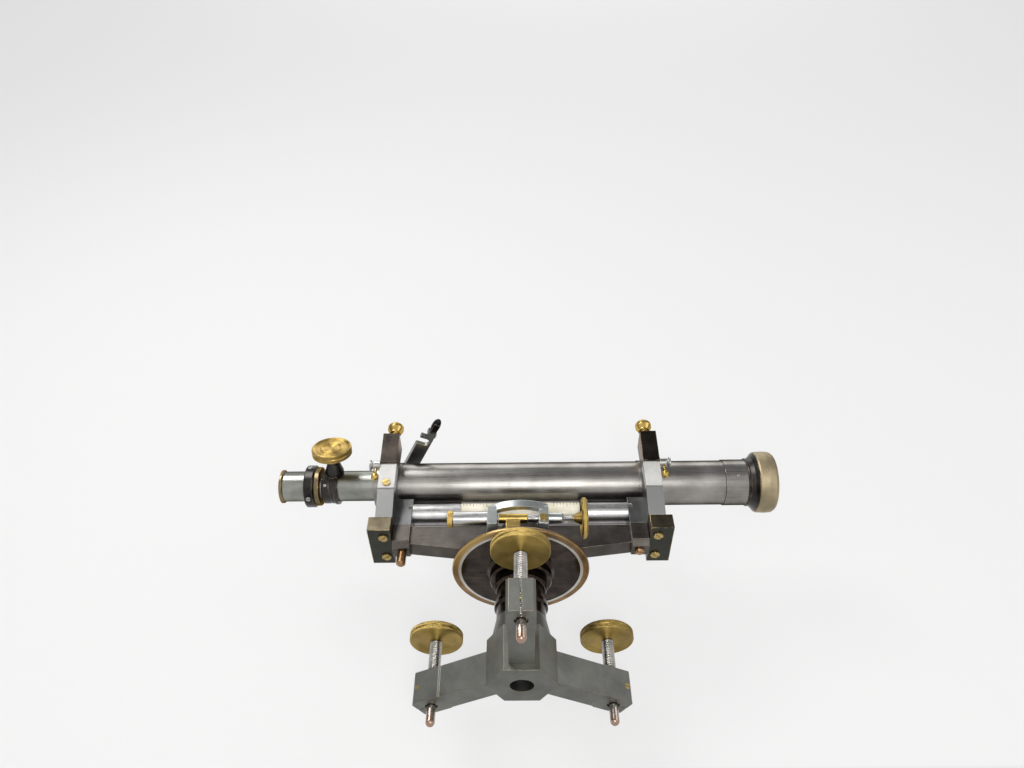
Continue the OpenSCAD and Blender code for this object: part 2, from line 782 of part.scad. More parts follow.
module bar_end_screws() {
  color([0.68, 0.48, 0.22]) {
    translate([-adjust_x, 0, bar_top - end_h]) adjusting_screw(adjust_left_l);
    translate([adjust_x, 0, bar_top - end_h]) adjusting_screw(adjust_right_l);
  }
}

// A screw that hangs from z = 0: drilled across for a pin where its head is long, slotted where it is short
module adjusting_screw(drop) {
  wide = 3 * adjust_head_r;
  long = drop > adjust_head_r;
  difference() {
    union() {
      translate([0, 0, -drop / 2])
        cylinder(h = drop / 2 + end_h - adjust_cap - over, r = adjust_r, $fn = few);
      translate([0, 0, -drop]) cylinder(h = over, r1 = adjust_head_r - over, r2 = adjust_head_r, $fn = few);
      translate([0, 0, over - drop]) cylinder(h = drop - over, r = adjust_head_r, $fn = few);
    }
    if (long) translate([-wide / 2, 0, -drop / 2]) rotate([0, 90, 0])
      cylinder(h = wide, r = adjust_r / 2.6, $fn = few / 2);
    if (!long) translate([-wide / 2, -adjust_r / 5, -drop - over])
      cube([wide, adjust_r / 2.5, over + drop / 2]);
  }
}

// One wye, seen along X: two limbs that rise from a foot, with a round seat between them
module wye_outline() {
  difference() {
    polygon([
      [-foot_half, wye_base], [-catch_foot, catch_z], [-near_in, catch_z], [-near_in, limb_top],
      [far_out, limb_top], [far_out, wye_base + far_foot], [foot_half, wye_base]
    ]);
    translate([0, scope_z]) circle(r = seat_r);
    translate([-seat_r, scope_z]) square([2 * seat_r, limb_rise + over]);
  }
}

module wye(s) {
  cut = wye_t - far_t;
  color([0.3, 0.3, 0.29]) translate([s * wye_x, 0, 0]) difference() {
    translate([-wye_t / 2, 0, 0]) rotate([90, 0, 90]) linear_extrude(wye_t) wye_outline();
    translate([s > 0 ? wye_t / 2 - cut : -wye_t / 2 - over, seat_r, wye_base + far_step])
      cube([cut + over, far_out, limb_top]);
    translate([s * (clip_x - wye_x), pivot_y, limb_top - pivot_l])
      cylinder(h = pivot_l + over, r = pivot_r, $fn = few);
    for (t = SIDES) translate([0, t * plate_y, wye_base - over])
      cylinder(h = plate_grip + over, r = plate_screw_r, $fn = few);
  }
}

// The plates that hold the wyes down on the bar's tenons
module wye_plates() {
  low = wye_base - plate_h;
  color([0.26, 0.23, 0.2]) for (s = SIDES) scale([s, 1, 1]) difference() {
    translate([wye_in + clear, -foot_half, low]) cube([plate_l, 2 * foot_half, plate_h]);
    translate([wye_in - over, -bar_w / 2, low + plate_floor]) cube([wye_t + over, bar_w, plate_h]);
    for (t = SIDES) translate([wye_x, t * plate_y, low - over])
      cylinder(h = plate_h + 2 * over, r = plate_screw_r, $fn = few);
  }
}

module plate_screws() {
  color([0.74, 0.6, 0.3]) for (s = SIDES, t = SIDES)
    translate([s * wye_x, t * plate_y, wye_base - plate_h]) rotate([180, 0, 45 * s])
      slotted_screw(plate_head_r, face_head_h, plate_screw_r, plate_h + plate_grip);
}

// The bright blocks; the left one has a flat sunk for the head of its screw
module catch_blocks() {
  color([0.86, 0.86, 0.84]) for (s = SIDES) translate([s * wye_x, 0, 0]) difference() {
    translate([-wye_t / 2, 0, 0]) rotate([90, 0, 90]) linear_extrude(wye_t) polygon([
      [-near_in, catch_z], [-catch_face, catch_z], [-catch_foot - catch_lean, post_z], [-near_in, post_z]
    ]);
    if (s < 0) translate([0, 0, catch_z + face_rise]) rotate([90, 0, 0]) {
      translate([0, 0, near_in + 2 * over])
        cylinder(h = catch_ledge + catch_lean, r = face_screw_r, $fn = few);
      translate([0, 0, face_y - over / 2]) cylinder(h = catch_lean, r = face_head_r, $fn = few);
    }
  }
}

module catch_posts() {
  color([0.13, 0.12, 0.12]) for (s = SIDES) difference() {
    translate([s * wye_x - wye_t / 2, 0, 0]) rotate([90, 0, 90]) linear_extrude(wye_t) polygon([
      [-near_in, post_z], [-post_foot, post_z], [-post_foot - post_lean, limb_top], [-near_in, limb_top]
    ]);
    translate([s * clip_x, -catch_y, limb_top - stem_l - over])
      cylinder(h = stem_l + 2 * over, r = stem_r + run);
  }
}

module catch_side_screws() {
  r = side_screw_r;
  l = side_screw_l;
  color([0.8, 0.8, 0.78]) for (s = SIDES) scale([s, 1, 1]) translate([0, -side_y, post_z]) difference() {
    turned_x(wye_out, [
      [0, 0], [r, 0], [r, l - 3 * over], [r - over, l - 2 * over], [r - over, l - 1.5 * over],
      [r + play, l - over], [r + play, l], [0, l]
    ]);
    translate([pin_x, 0, -r - over]) cylinder(h = 2 * over, r = pin_neck, $fn = few);
  }
}

module catch_pins() {
  low = pin_r * 1.6;
  color([0.8, 0.6, 0.22]) for (s = SIDES) scale([s, 1, 1])
    translate([pin_x, -side_y, post_z - side_screw_r - pin_l]) rotate_extrude($fn = few) polygon([
      [0, 0], [pin_r * 0.6, play], [pin_r, low / 2], [pin_r, low], [pin_r * 0.6, low + 2],
      [pin_neck, low + 3], [pin_neck, pin_l + over], [0, pin_l + over]
    ]);
}

module catch_screw(s) {
  shoulder = knob_r * 0.7;
  top = knob_z + knob_h;
  color([0.8, 0.58, 0.2]) translate([s * clip_x, -catch_y, 0]) rotate_extrude() polygon([
    [0, limb_top - stem_l], [stem_r, limb_top - stem_l], [stem_r, knob_z], [shoulder, knob_z],
    [shoulder, knob_z + over], [knob_r, knob_z + knob_h / 2], [knob_r, top - 2 * over],
    [knob_r - over, top - over / 2], [0, top]
  ]);
}

// The screw in the left catch and the one in the right lug
module face_screws() {
  seat = face_y - over / 2;
  color([0.74, 0.62, 0.34]) {
    translate([-wye_x, -seat, catch_z + face_rise]) rotate([90, 0, 0]) rotate(20)
      slotted_screw(face_head_r, face_head_h, face_screw_r, seat - near_in - 2 * over);
    translate([lug_right, -tangent_y - lug_out, tangent_z - lug_screw_drop]) rotate([90, 0, 0]) rotate(80)
      slotted_screw(face_head_r, face_head_h, face_screw_r, 1.5 * over);
  }
}

// Plan of a clip that points along -Y from its pivot; its notch opens on the side that closes first
module clip_plan(side) {
  half = clip_w / 2;
  difference() {
    union() {
      circle(r = half);
      translate([-half, -notch_end]) square([clip_w, notch_end]);
      translate([-side * thumb_set - thumb_neck, thumb_r - clip_l]) square([2 * thumb_neck, tab_l]);
    }
    translate([0, -notch_reach]) circle(r = notch_r);
    translate([side > 0 ? 0 : -clip_w, -notch_reach - notch_r]) square([clip_w, 2 * notch_r]);
    circle(r = pivot_r + run);
  }
}

// Half section of a clip's thumb piece, rounded at both ends
function spindle_section(r, l) = [for (k = [0:12]) [r * pow(sin(15 * k), 0.8), l * (1 - cos(15 * k)) / 2]];

// A clip, swung open from over the telescope: thin under the catch screw's head, with a heel and a thumb piece
module clip(s, open) {
  thin = notch_reach - knob_r - over;
  heel = notch_reach + knob_r + over;
  color([0.17, 0.17, 0.17]) translate([s * clip_x, pivot_y, clip_z]) rotate(-s * open) union() {
    difference() {
      linear_extrude(clip_t) clip_plan(s);
      translate([-clip_w, -clip_l - over, notch_t]) cube([2 * clip_w, clip_l + over - thin, clip_t]);
    }
    translate([-s * thumb_set - thumb_r, -heel - heel_l, 0]) cube([2 * thumb_r, heel_l, clip_t]);
    translate([-s * thumb_set, over - heel - heel_l, clip_t / 2]) rotate([90, 0, 0])
      rotate_extrude($fn = few) polygon(spindle_section(thumb_r, clip_l + over - heel - heel_l));
  }
}

module clip_pivots() {
  color([0.5, 0.5, 0.5]) for (s = SIDES) translate([s * clip_x, pivot_y, clip_z + clip_t + play])
    slotted_screw(pivot_head_r, pivot_head_h, pivot_r, clip_t + 2 * play + pivot_l);
}

module level_tube() {
  color([0.7, 0.7, 0.69]) translate([0, 0, level_z]) difference() {
    round_x(-end_in - pocket, end_in + pocket, level_r, vial_r);
    translate([-window_l / 2, -2 * level_r, -2 * level_r]) cube([window_l, 2 * level_r, 4 * level_r]);
  }
}

module level_vial() {
  reach = end_in - pocket;
  color([0.9, 0.88, 0.78]) translate([0, 0, level_z]) round_x(-reach, reach, vial_r, vial_r - glass_wall);
}

module level_blocks() {
  color([0.2, 0.2, 0.2]) for (s = SIDES) scale([s, 1, 1]) difference() {
    translate([end_in, -end_w / 2, bar_top]) cube([end_l, end_w, level_rise + block_rise]);
    translate([end_in - over, 0, level_z]) rotate([0, 90, 0]) cylinder(h = pocket + over, r = level_r);
  }
}

// One lug, seen along X: a head round the tangent screw and a neck back to the bar
module lug_outline() {
  front = -tangent_y - lug_out;
  back = lug_out - tangent_y;
  low = tangent_z - lug_drop;
  top = tangent_z + strip_rise + strip_h;
  difference() {
    polygon([
      [back, low], [-tangent_y, low - lug_point], [front, low], [front, top - lug_bevel],
      [front + lug_bevel, top], [-bar_w / 2, top], [-bar_w / 2, tangent_z + lug_bevel],
      [back, tangent_z + lug_bevel]
    ]);
    translate([-tangent_y, tangent_z]) circle(r = lug_bore);
  }
}

// The bridge on the bar: two lugs, the curved strip that joins them and the bush for the tangent screw
module tangent_bridge() {
  base = tangent_z + strip_rise;
  color([0.72, 0.73, 0.72]) difference() {
    union() {
      for (x = [lug_left_out, lug_right_in]) translate([x, 0, 0]) rotate([90, 0, 90])
        linear_extrude(lug_t) lug_outline();
      intersection() {
        translate([0, 0, base]) difference() {
          cylinder(h = strip_h, r = strip_r);
          translate([0, 0, -over]) cylinder(h = strip_h + 2 * over, r = strip_r - strip_t);
        }
        translate([lug_left_out, -2 * strip_r, base])
          cube([lug_right_out - lug_left_out, 2 * strip_r, strip_h]);
      }
      on_tangent() turned_x(lug_right_out - over, [
        [0, 0], [bush_r, 0], [bush_r, over], [bush_r - bush_taper, bush_l], [bush_r - over, bush_l + over],
        [0, bush_l + over]
      ]);
    }
    translate([0, 0, bar_under]) cylinder(h = bar_mid_h, r = bar_boss_r);
    on_tangent() round_x(lug_right_in - over, bush_end + over, tangent_r + run);
    translate([lug_right, -tangent_y - lug_out - over, tangent_z - lug_screw_drop]) rotate([-90, 0, 0])
      cylinder(h = 2.5 * over, r = face_screw_r, $fn = few);
  }
}

module spring_barrel() {
  color([0.7, 0.7, 0.7]) on_tangent() round_x(barrel_x, lug_left_out, barrel_r, barrel_r - barrel_wall);
}

module spring_cap() {
  r = barrel_r + cap_d;
  color([0.78, 0.6, 0.26]) on_tangent() turned_x(barrel_x - cap_l, [
    [0, edge_c], [r - 3 * edge_c, 0], [r - edge_c, 0], [r, edge_c], [r, cap_l - edge_c],
    [r - edge_c, cap_l], [0, cap_l]
  ]);
}

// Ring k of the spring's wire, six points round the helix
function spring_ring(k, steps, length, r) = let (a = 360 * k / steps, x = length * k / (spring_turns * steps))
  [for (j = [0:5]) let (b = 60 * j, q = r + spring_wire * cos(b))
    [x + spring_wire * sin(b), q * cos(a), q * sin(a)]];

module tangent_spring() {
  steps = 8;
  last = spring_turns * steps;
  r = barrel_r - barrel_wall - spring_gap - spring_wire;
  length = barrel_l - spring_free;
  points = [for (k = [0:last]) each spring_ring(k, steps, length, r)];
  sides = [for (k = [0:last - 1], j = [0:5]) let (n = (j + 1) % 6)
    each [[6 * k + j, 6 * k + n, 6 * k + 6 + n], [6 * k + j, 6 * k + 6 + n, 6 * k + 6 + j]]];
  caps = [for (j = [1:4]) each [[0, j + 1, j], [6 * last, 6 * last + j, 6 * last + j + 1]]];
  color([0.5, 0.5, 0.52]) on_tangent() translate([barrel_x + 2 * over, 0, 0])
    polyhedron(points, concat(sides, caps));
}

module spring_plunger() {
  head = lug_left_out - plunger_l;
  color([0.6, 0.6, 0.6]) on_tangent() {
    round_x(head, tongue_x - clear, nose_r - 2 * run);
    round_x(head, head + 2 * over, barrel_r - barrel_wall - 2 * run);
  }
}

module tangent_screw() {
  nose_l = lug_right_in - nose_x - play;
  color([0.68, 0.67, 0.64]) on_tangent() union() {
    round_x(nose_x, head_x, tangent_r);
    turned_x(nose_x, [
      [0, 0], [nose_r - play, 0], [nose_r - play, nose_l / 3], [nose_r, nose_l / 2], [nose_r, nose_l],
      [0, nose_l]
    ]);
  }
}

module tangent_head() {
  r = tangent_head_r;
  t = tangent_head_t;
  web = t * 0.3;
  color([0.8, 0.62, 0.24]) on_tangent() union() {
    turned_x(head_x, [[0, 0], [tangent_r + play, 0], [cone_r, cone_l], [0, cone_l]]);
    turned_x(head_x + cone_l - play, [
      [0, web], [r - 4 * over, web], [r - 2 * over, play], [r - over, 0], [r, over], [r, t - over],
      [r - over, t], [r - 2 * over, t - play], [r - 4 * over, t - web], [0, t - web]
    ]);
  }
}

module telescope_tube() {
  color([0.4, 0.39, 0.38]) on_scope() union() {
    round_x(-tube_back, tube_front, tube_r, bore_r);
    round_x(-tube_back, 3 * over - tube_back, bore_r + play, rear_r);
  }
}

module telescope_collars() {
  color([0.62, 0.6, 0.56]) on_scope() for (s = SIDES)
    round_x(s * wye_x - collar_half, s * wye_x + collar_half, ring_r, tube_r);
}

module rear_tube() {
  color([0.55, 0.54, 0.52]) on_scope() round_x(housing_end, rear_in - tube_back, rear_r, rear_bore);
}

// Turns its children from +Z to the focusing knob's direction
module to_focus() {
  on_scope() translate([focus_x, 0, 0]) rotate([90 - focus_angle, 0, 0]) children();
}

// The focusing collar on the rear tube, with the housing of the pinion
module focus_housing() {
  neck = focus_reach - focus_t - clear;
  bead = housing_r + housing_bead;
  color([0.2, 0.2, 0.2]) difference() {
    union() {
      on_scope() turned_x(housing_end, [
        [rear_bore, 0], [housing_r - over, 0], [housing_r, over], [housing_r, housing_l / 2 - over],
        [housing_r - play, housing_l / 2], [housing_r, housing_l / 2 + over],
        [housing_r, housing_l - 3 * over], [bead, housing_l - 2.6 * over], [bead, housing_l - play],
        [bead - play, housing_l], [rear_bore, housing_l]
      ]);
      to_focus() rotate_extrude() polygon([
        [0, rear_bore], [neck_foot_r, rear_bore], [neck_foot_r, housing_r + over],
        [neck_top_r + play, (housing_r + neck) / 2], [neck_top_r, neck], [0, neck]
      ]);
    }
    on_scope() round_x(housing_end - over, focus_x + neck_foot_r + over, rear_r);
    to_focus() cylinder(h = focus_reach, r = pinion_r + run, $fn = few);
  }
}

// The sleeve that joins the object glass's mount to the main tube
module object_cell() {
  r = tube_r + sleeve_step;
  inner = bore_r - spigot_wall;
  color([0.4, 0.38, 0.36]) on_scope() turned_x(tube_front, [
    [inner, -spigot_l], [bore_r, -spigot_l], [bore_r, 0], [r, 0], [r, sleeve_grip], [inner, sleeve_grip]
  ]);
}

// The dark flare between the sleeve and the object glass's ring
module object_flare() {
  r = tube_r + sleeve_step;
  color([0.1, 0.09, 0.09]) on_scope() turned_x(flare_x, [
    [bore_r - spigot_wall, 0], [r + play, 0], [r + 2.5 * play, over], [r + play, 2 * over],
    [r + 2 * over, flare_l * 0.65], [object_r - 1.5 * clear, flare_l], [glass_r, flare_l]
  ]);
}

module object_ring() {
  color([0.66, 0.56, 0.38]) on_scope() turned_x(ring_x, [
    [glass_r, 0], [object_r - clear, 0], [object_r, over], [object_r + play, object_l / 2],
    [object_r, object_l - 2 * over], [object_r - 1.4 * over, object_l], [glass_r, object_l]
  ]);
}

// Half section of a lens with a bulge on each face
function lens(r, t, bulge) = [
  for (k = [0:8]) [r * k / 8, bulge * pow(k / 8, 2)],
  for (k = [8:-1:0]) [r * k / 8, t - bulge * pow(k / 8, 2)]
];

module object_glass() {
  color([0.7, 0.8, 0.85]) on_scope()
    turned_x(ring_x + over, lens(glass_r, object_glass_t, object_glass_t / 4));
}

module draw_tube() {
  color([0.7, 0.69, 0.66]) on_scope() round_x(draw_x, -tube_back - 2 * over, draw_r, draw_bore);
}

module draw_ring() {
  r = draw_ring_r;
  color([0.66, 0.52, 0.26]) on_scope() turned_x(cell_x, [
    [draw_bore, 0], [r - play, 0], [r, play], [r, draw_ring_l - play], [r - play, draw_ring_l],
    [draw_bore, draw_ring_l]
  ]);
}

// The cell of the cross-hairs, with a hole for each of its four screws
module crosshair_cell() {
  color([0.16, 0.16, 0.16]) on_scope() difference() {
    turned_x(eye_x, [
      [rear_r, 0], [cell_r - clear, 0], [cell_r, clear], [cell_r, cell_l - over], [cell_r - over, cell_l],
      [rear_r, cell_l]
    ]);
    at_hair_screws() translate([0, 0, -hair_screw_l])
      cylinder(h = hair_screw_l + over, r = hair_screw_r, $fn = few);
  }
}

// Puts its children on the cell at the four screws, pointing outwards
module at_hair_screws() {
  for (a = HAIR_ANGLES) rotate([a, 0, 0])
    translate([eye_x + cell_l / 2, cell_r, 0]) rotate([-90, 0, 0]) children();
}

module crosshair_screws() {
  color([0.72, 0.68, 0.6]) on_scope() at_hair_screws()
    slotted_screw(hair_head_r, face_head_h, hair_screw_r, hair_screw_l);
}

module eyepiece() {
  r = eyepiece_r;
  inner = r - eyepiece_wall;
  step = eyepiece_l + cell_l - over;
  color([0.4, 0.39, 0.37]) on_scope() turned_x(eye_end, [
    [inner, 0], [r, 0], [r, step], [sleeve_r, step], [sleeve_r, step + sleeve_l],
    [sleeve_r - over, step + sleeve_l], [sleeve_r - over, step - 3 * over], [inner, step - 5 * over]
  ]);
}

module eyepiece_flange() {
  r = eye_flange_r;
  t = eye_flange_t;
  color([0.58, 0.46, 0.26]) on_scope() turned_x(eye_end - t, [
    [eye_hole_r, 2 * play], [r - 2 * over, 2 * play], [r - over, 0], [r, play], [r, t - over], [r - over, t],
    [eye_hole_r, t]
  ]);
}

module eye_lens() {
  color([0.7, 0.8, 0.85]) on_scope()
    turned_x(eye_end, lens(eyepiece_r - eyepiece_wall, eye_glass_t, eye_glass_t / 4));
}

module focus_pinion() {
  start = rear_r + clear;
  color([0.6, 0.6, 0.6]) to_focus() translate([0, 0, start])
    cylinder(h = focus_reach - 2 * over - start, r = pinion_r, $fn = few);
}

module focus_knob() {
  color([0.8, 0.56, 0.18]) to_focus() translate([0, 0, focus_reach - focus_t]) difference() {
    rotate_extrude() polygon(milled(focus_r, focus_t, neck_foot_r));
    translate([0, 0, -over]) cylinder(h = focus_t - over, r = pinion_r, $fn = few);
  }
}

tribrach();
tribrach_arms();
arm_pinch_screws();
levelling_screw(ARM_ANGLES[0]);  // levelling_screw_front
levelling_screw(ARM_ANGLES[1]);  // levelling_screw_left
levelling_screw(ARM_ANGLES[2]);  // levelling_screw_right
levelling_head(ARM_ANGLES[0]);  // levelling_head_front
levelling_head(ARM_ANGLES[1]);  // levelling_head_left
levelling_head(ARM_ANGLES[2]);  // levelling_head_right
socket();
spindle();
spindle_nut();
clamp_disc();
disc_rim();
disc_bright_ring();
clamp_tongue();
clamp_screw();
bar();
bar_end_screws();
wye(-1);  // wye_left
wye(1);  // wye_right
wye_plates();
plate_screws();
catch_blocks();
catch_posts();
catch_side_screws();
catch_pins();
catch_screw(-1);  // catch_screw_left
catch_screw(1);  // catch_screw_right
face_screws();
clip(-1, left_open);  // clip_left
clip(1, right_open);  // clip_right
clip_pivots();
level_tube();
level_vial();
level_blocks();
tangent_bridge();
spring_barrel();
spring_cap();
tangent_spring();
spring_plunger();
tangent_screw();
tangent_head();
telescope_tube();
telescope_collars();
rear_tube();
focus_housing();
object_cell();
object_flare();
object_ring();
object_glass();
draw_tube();
draw_ring();
crosshair_cell();
crosshair_screws();
eyepiece();
eyepiece_flange();
eye_lens();
focus_pinion();
focus_knob();
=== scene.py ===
import bpy
import bmesh
import math
from mathutils import Matrix, Vector


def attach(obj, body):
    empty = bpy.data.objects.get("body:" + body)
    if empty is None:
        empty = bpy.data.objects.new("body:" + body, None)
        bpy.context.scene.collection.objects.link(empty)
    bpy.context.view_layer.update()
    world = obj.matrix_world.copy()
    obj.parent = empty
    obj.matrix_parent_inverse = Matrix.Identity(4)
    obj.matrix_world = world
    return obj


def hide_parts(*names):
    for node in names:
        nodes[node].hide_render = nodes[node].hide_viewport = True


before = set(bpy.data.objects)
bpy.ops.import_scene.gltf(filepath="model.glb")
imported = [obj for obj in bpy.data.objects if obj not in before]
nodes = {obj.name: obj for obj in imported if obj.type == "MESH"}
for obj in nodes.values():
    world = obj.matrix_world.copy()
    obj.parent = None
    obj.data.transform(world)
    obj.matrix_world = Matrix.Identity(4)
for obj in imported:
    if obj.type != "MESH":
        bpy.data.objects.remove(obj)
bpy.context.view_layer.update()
print("level: frame loaded with", len(nodes), "nodes")

bpy.context.scene.view_settings.view_transform = "Standard"

# the camera looks up at the level from in front and from below
camera = {"place": (0.0008, -0.480, -0.2425), "tilt": 137.7, "turn": 0.85, "lens": 27.8,
          "sensor": 36.0, "near": 0.01}

camData = bpy.data.cameras.new("photoCamera")
camData.lens = camera["lens"]
camData.sensor_width = camera["sensor"]
camData.clip_start = camera["near"]
camObject = bpy.data.objects.new("photoCamera", camData)
camObject.location = camera["place"]
camObject.rotation_euler = (math.radians(camera["tilt"]), 0, math.radians(camera["turn"]))
bpy.context.scene.collection.objects.link(camObject)
bpy.context.scene.camera = camObject


# small helpers for node trees
def newTree(name):
    mat = bpy.data.materials.new(name)
    mat.use_nodes = True
    tree = mat.node_tree
    tree.nodes.clear()
    out = tree.nodes.new("ShaderNodeOutputMaterial")
    return mat, tree, out


def add(tree, kind, **values):
    node = tree.nodes.new(kind)
    for key, value in values.items():
        if key in node.inputs.keys():
            node.inputs[key].default_value = value
        else:
            setattr(node, key, value)
    return node


def wire(tree, source, target):
    tree.links.new(source, target)


def feed(tree, node, values):
    # a value is either another node's output or a number
    for slot, value in enumerate(values):
        if hasattr(value, "links"):
            wire(tree, value, node.inputs[slot])
        else:
            node.inputs[slot].default_value = value
    return node.outputs


def calc(tree, kind, *values):
    return feed(tree, add(tree, "ShaderNodeMath", operation=kind), values)[0]


def vectorCalc(tree, kind, *values):
    outputs = feed(tree, add(tree, "ShaderNodeVectorMath", operation=kind), values)
    return outputs["Value" if kind in ("DOT_PRODUCT", "LENGTH", "DISTANCE") else "Vector"]


def spread(tree, source, low, high, toLow=0.0, toHigh=1.0):
    node = add(tree, "ShaderNodeMapRange")
    for key, value in (("From Min", low), ("From Max", high), ("To Min", toLow), ("To Max", toHigh)):
        node.inputs[key].default_value = value
    wire(tree, source, node.inputs["Value"])
    return node.outputs[0]


def tones(tree, source, ends, dark, light):
    node = add(tree, "ShaderNodeValToRGB")
    for element, position, colour in zip(node.color_ramp.elements, ends, (dark, light)):
        element.position = position
        element.color = (*colour, 1)
    wire(tree, source, node.inputs["Fac"])
    return node.outputs["Color"]


def noise(tree, source, scale, detail, roughness=0.5):
    node = add(tree, "ShaderNodeTexNoise", Scale=scale, Detail=detail, Roughness=roughness)
    wire(tree, source, node.inputs["Vector"])
    return node.outputs["Fac"]


def blendColour(tree, amount, base, over):
    node = add(tree, "ShaderNodeMix", data_type="RGBA")
    wire(tree, amount, node.inputs[0])
    wire(tree, base, node.inputs[6])
    node.inputs[7].default_value = (*over, 1)
    return node.outputs[2]


def blendShaders(tree, amount, base, over):
    node = add(tree, "ShaderNodeMixShader")
    for slot, output in enumerate((amount, base.outputs[0], over.outputs[0])):
        wire(tree, output, node.inputs[slot])
    return node


# stage: a floor and a wall that show from their face side only
stage = {"floorZ": -0.0101, "wallY": 0.102, "reach": 2.6, "wallTop": 3.4, "wallFoot": -0.6,
         "pale": (0.84, 0.84, 0.83, 1), "glow": 0.78, "seen": (0.85, 0.85, 0.85, 1)}


def stageMaterial(name, unseenBy):
    mat, tree, out = newTree(name)
    paper = add(tree, "ShaderNodeBsdfDiffuse", Color=stage["pale"])
    glow = add(tree, "ShaderNodeEmission", Color=stage["seen"], Strength=1.0)
    clear = add(tree, "ShaderNodeBsdfTransparent")
    rays = add(tree, "ShaderNodeLightPath").outputs
    looked = rays["Is Camera Ray"]
    for ray in ("Is Glossy Ray", "Is Transmission Ray"):
        looked = calc(tree, "MAXIMUM", looked, rays[ray])
    passed = add(tree, "ShaderNodeNewGeometry").outputs["Backfacing"]
    for ray in unseenBy:
        passed = calc(tree, "MAXIMUM", passed, rays[ray])
    front = blendShaders(tree, calc(tree, "MULTIPLY", looked, stage["glow"]), paper, glow)
    sheet = blendShaders(tree, passed, front, clear)
    wire(tree, sheet.outputs[0], out.inputs["Surface"])
    return mat


def stageSheet(name, corners, mat):
    bm = bmesh.new()
    bm.faces.new([bm.verts.new(c) for c in corners])
    mesh = bpy.data.meshes.new(name)
    bm.to_mesh(mesh)
    bm.free()
    piece = bpy.data.objects.new(name, mesh)
    bpy.context.scene.collection.objects.link(piece)
    piece.data.materials.append(mat)


sheetCorners = [(-stage["reach"], -1), (stage["reach"], -1), (stage["reach"], 1), (-stage["reach"], 1)]
stageSheet("stageFloor", [(x, stage["reach"] * way, stage["floorZ"]) for x, way in sheetCorners],
           stageMaterial("floorPaper", ["Is Shadow Ray"]))
wallEnds = {-1: stage["wallFoot"], 1: stage["wallTop"]}
stageSheet("stageWall", [(x, stage["wallY"], wallEnds[way]) for x, way in sheetCorners],
           stageMaterial("wallPaper", ["Is Shadow Ray", "Is Diffuse Ray"]))

# the room: a little lighter above than below, and pale where it is looked at
room = {"ground": (0.20, 0.19, 0.18), "sky": (0.62, 0.63, 0.65), "horizon": (0.25, 0.8), "level": 0.5,
        "seen": (0.86, 0.86, 0.86, 1)}

world = bpy.data.worlds.new("studio")
bpy.context.scene.world = world
world.use_nodes = True
roomTree = world.node_tree
roomTree.nodes.clear()
roomOut = roomTree.nodes.new("ShaderNodeOutputWorld")
roomSplit = add(roomTree, "ShaderNodeSeparateXYZ")
wire(roomTree, add(roomTree, "ShaderNodeTexCoord").outputs["Generated"], roomSplit.inputs[0])
height = spread(roomTree, roomSplit.outputs["Z"], -1.0, 1.0)
light = add(roomTree, "ShaderNodeBackground", Strength=room["level"])
wire(roomTree, tones(roomTree, height, room["horizon"], room["ground"], room["sky"]), light.inputs["Color"])
seen = add(roomTree, "ShaderNodeBackground", Color=room["seen"], Strength=1.0)
looked = add(roomTree, "ShaderNodeLightPath").outputs["Is Camera Ray"]
wire(roomTree, blendShaders(roomTree, looked, light, seen).outputs[0], roomOut.inputs["Surface"])

lamps = {
    "keyLamp": {"place": (-0.50, -0.80, 0.60), "size": 0.50, "watts": 7.0},
    "fillLamp": {"place": (0.95, -0.75, 0.25), "size": 0.8, "watts": 3.5},
    "topLamp": {"place": (0.1, -0.4, 2.3), "size": 1.5, "watts": 18.0},
    "backLamp": {"place": (0.3, 1.1, 0.6), "size": 0.7, "watts": 5.0},
    "frontLamp": {"place": (0.05, -0.60, -0.36), "size": 0.16, "watts": 2.6},
}
lampAim = (0, 0, 0.1)
for name, spec in lamps.items():
    data = bpy.data.lights.new(name, "AREA")
    data.shape = "SQUARE"
    data.size = spec["size"]
    data.energy = spec["watts"]
    lamp = bpy.data.objects.new(name, data)
    lamp.location = spec["place"]
    aim = Vector(lampAim) - Vector(spec["place"])
    lamp.rotation_euler = aim.to_track_quat("-Z", "Y").to_euler()
    bpy.context.scene.collection.objects.link(lamp)
print("level: camera, stage and lamps set")

# a worn metal: tarnish in blotches, fine brushing, edges rubbed down to the metal beneath, and, where a look
# lists sides, painted light and shade on the faces that look one way.
# The first dictionary is what a finish has unless it says otherwise, the second holds for all.
plainMetal = {"metallic": 1.0, "blotch": 60.0, "brush": (60, 900, 900), "rings": 1600.0, "spokes": 0.9,
              "edge": 0.0006, "patch": 140.0, "wear": 0.7, "bump": 0.06, "sides": [], "spots": []}
allMetal = {"tarnish": (0.36, 0.64), "grain": (0.2, 0.8), "streaks": (0.35, 0.7), "ragged": (0.3, 0.7),
            "scrapes": (0.62, 0.72), "scrapeTurn": (0.0, 0.0, 0.5), "scrapeScale": (25, 1400, 200),
            "inwards": (-0.05, -0.08), "edges": (0.985, 0.87), "rubbed": (0.40, 0.58), "bumpHigh": 0.0003}


def turnedGrain(tree, place, look, skin):
    # rings from the lathe round a centre, and the bright spokes that they give
    centre, axis = look["turned"]
    along = vectorCalc(tree, "CROSS_PRODUCT", axis, vectorCalc(tree, "SUBTRACT", place, centre))
    grain = add(tree, "ShaderNodeTexNoise", noise_dimensions="1D", Detail=4.0, Roughness=0.75)
    grain.inputs["Scale"].default_value = look["rings"]
    wire(tree, vectorCalc(tree, "LENGTH", along), grain.inputs["W"])
    wire(tree, vectorCalc(tree, "CROSS_PRODUCT", along, axis), skin.inputs["Tangent"])
    skin.inputs["Anisotropic"].default_value = look["spokes"]
    return grain.outputs["Fac"]


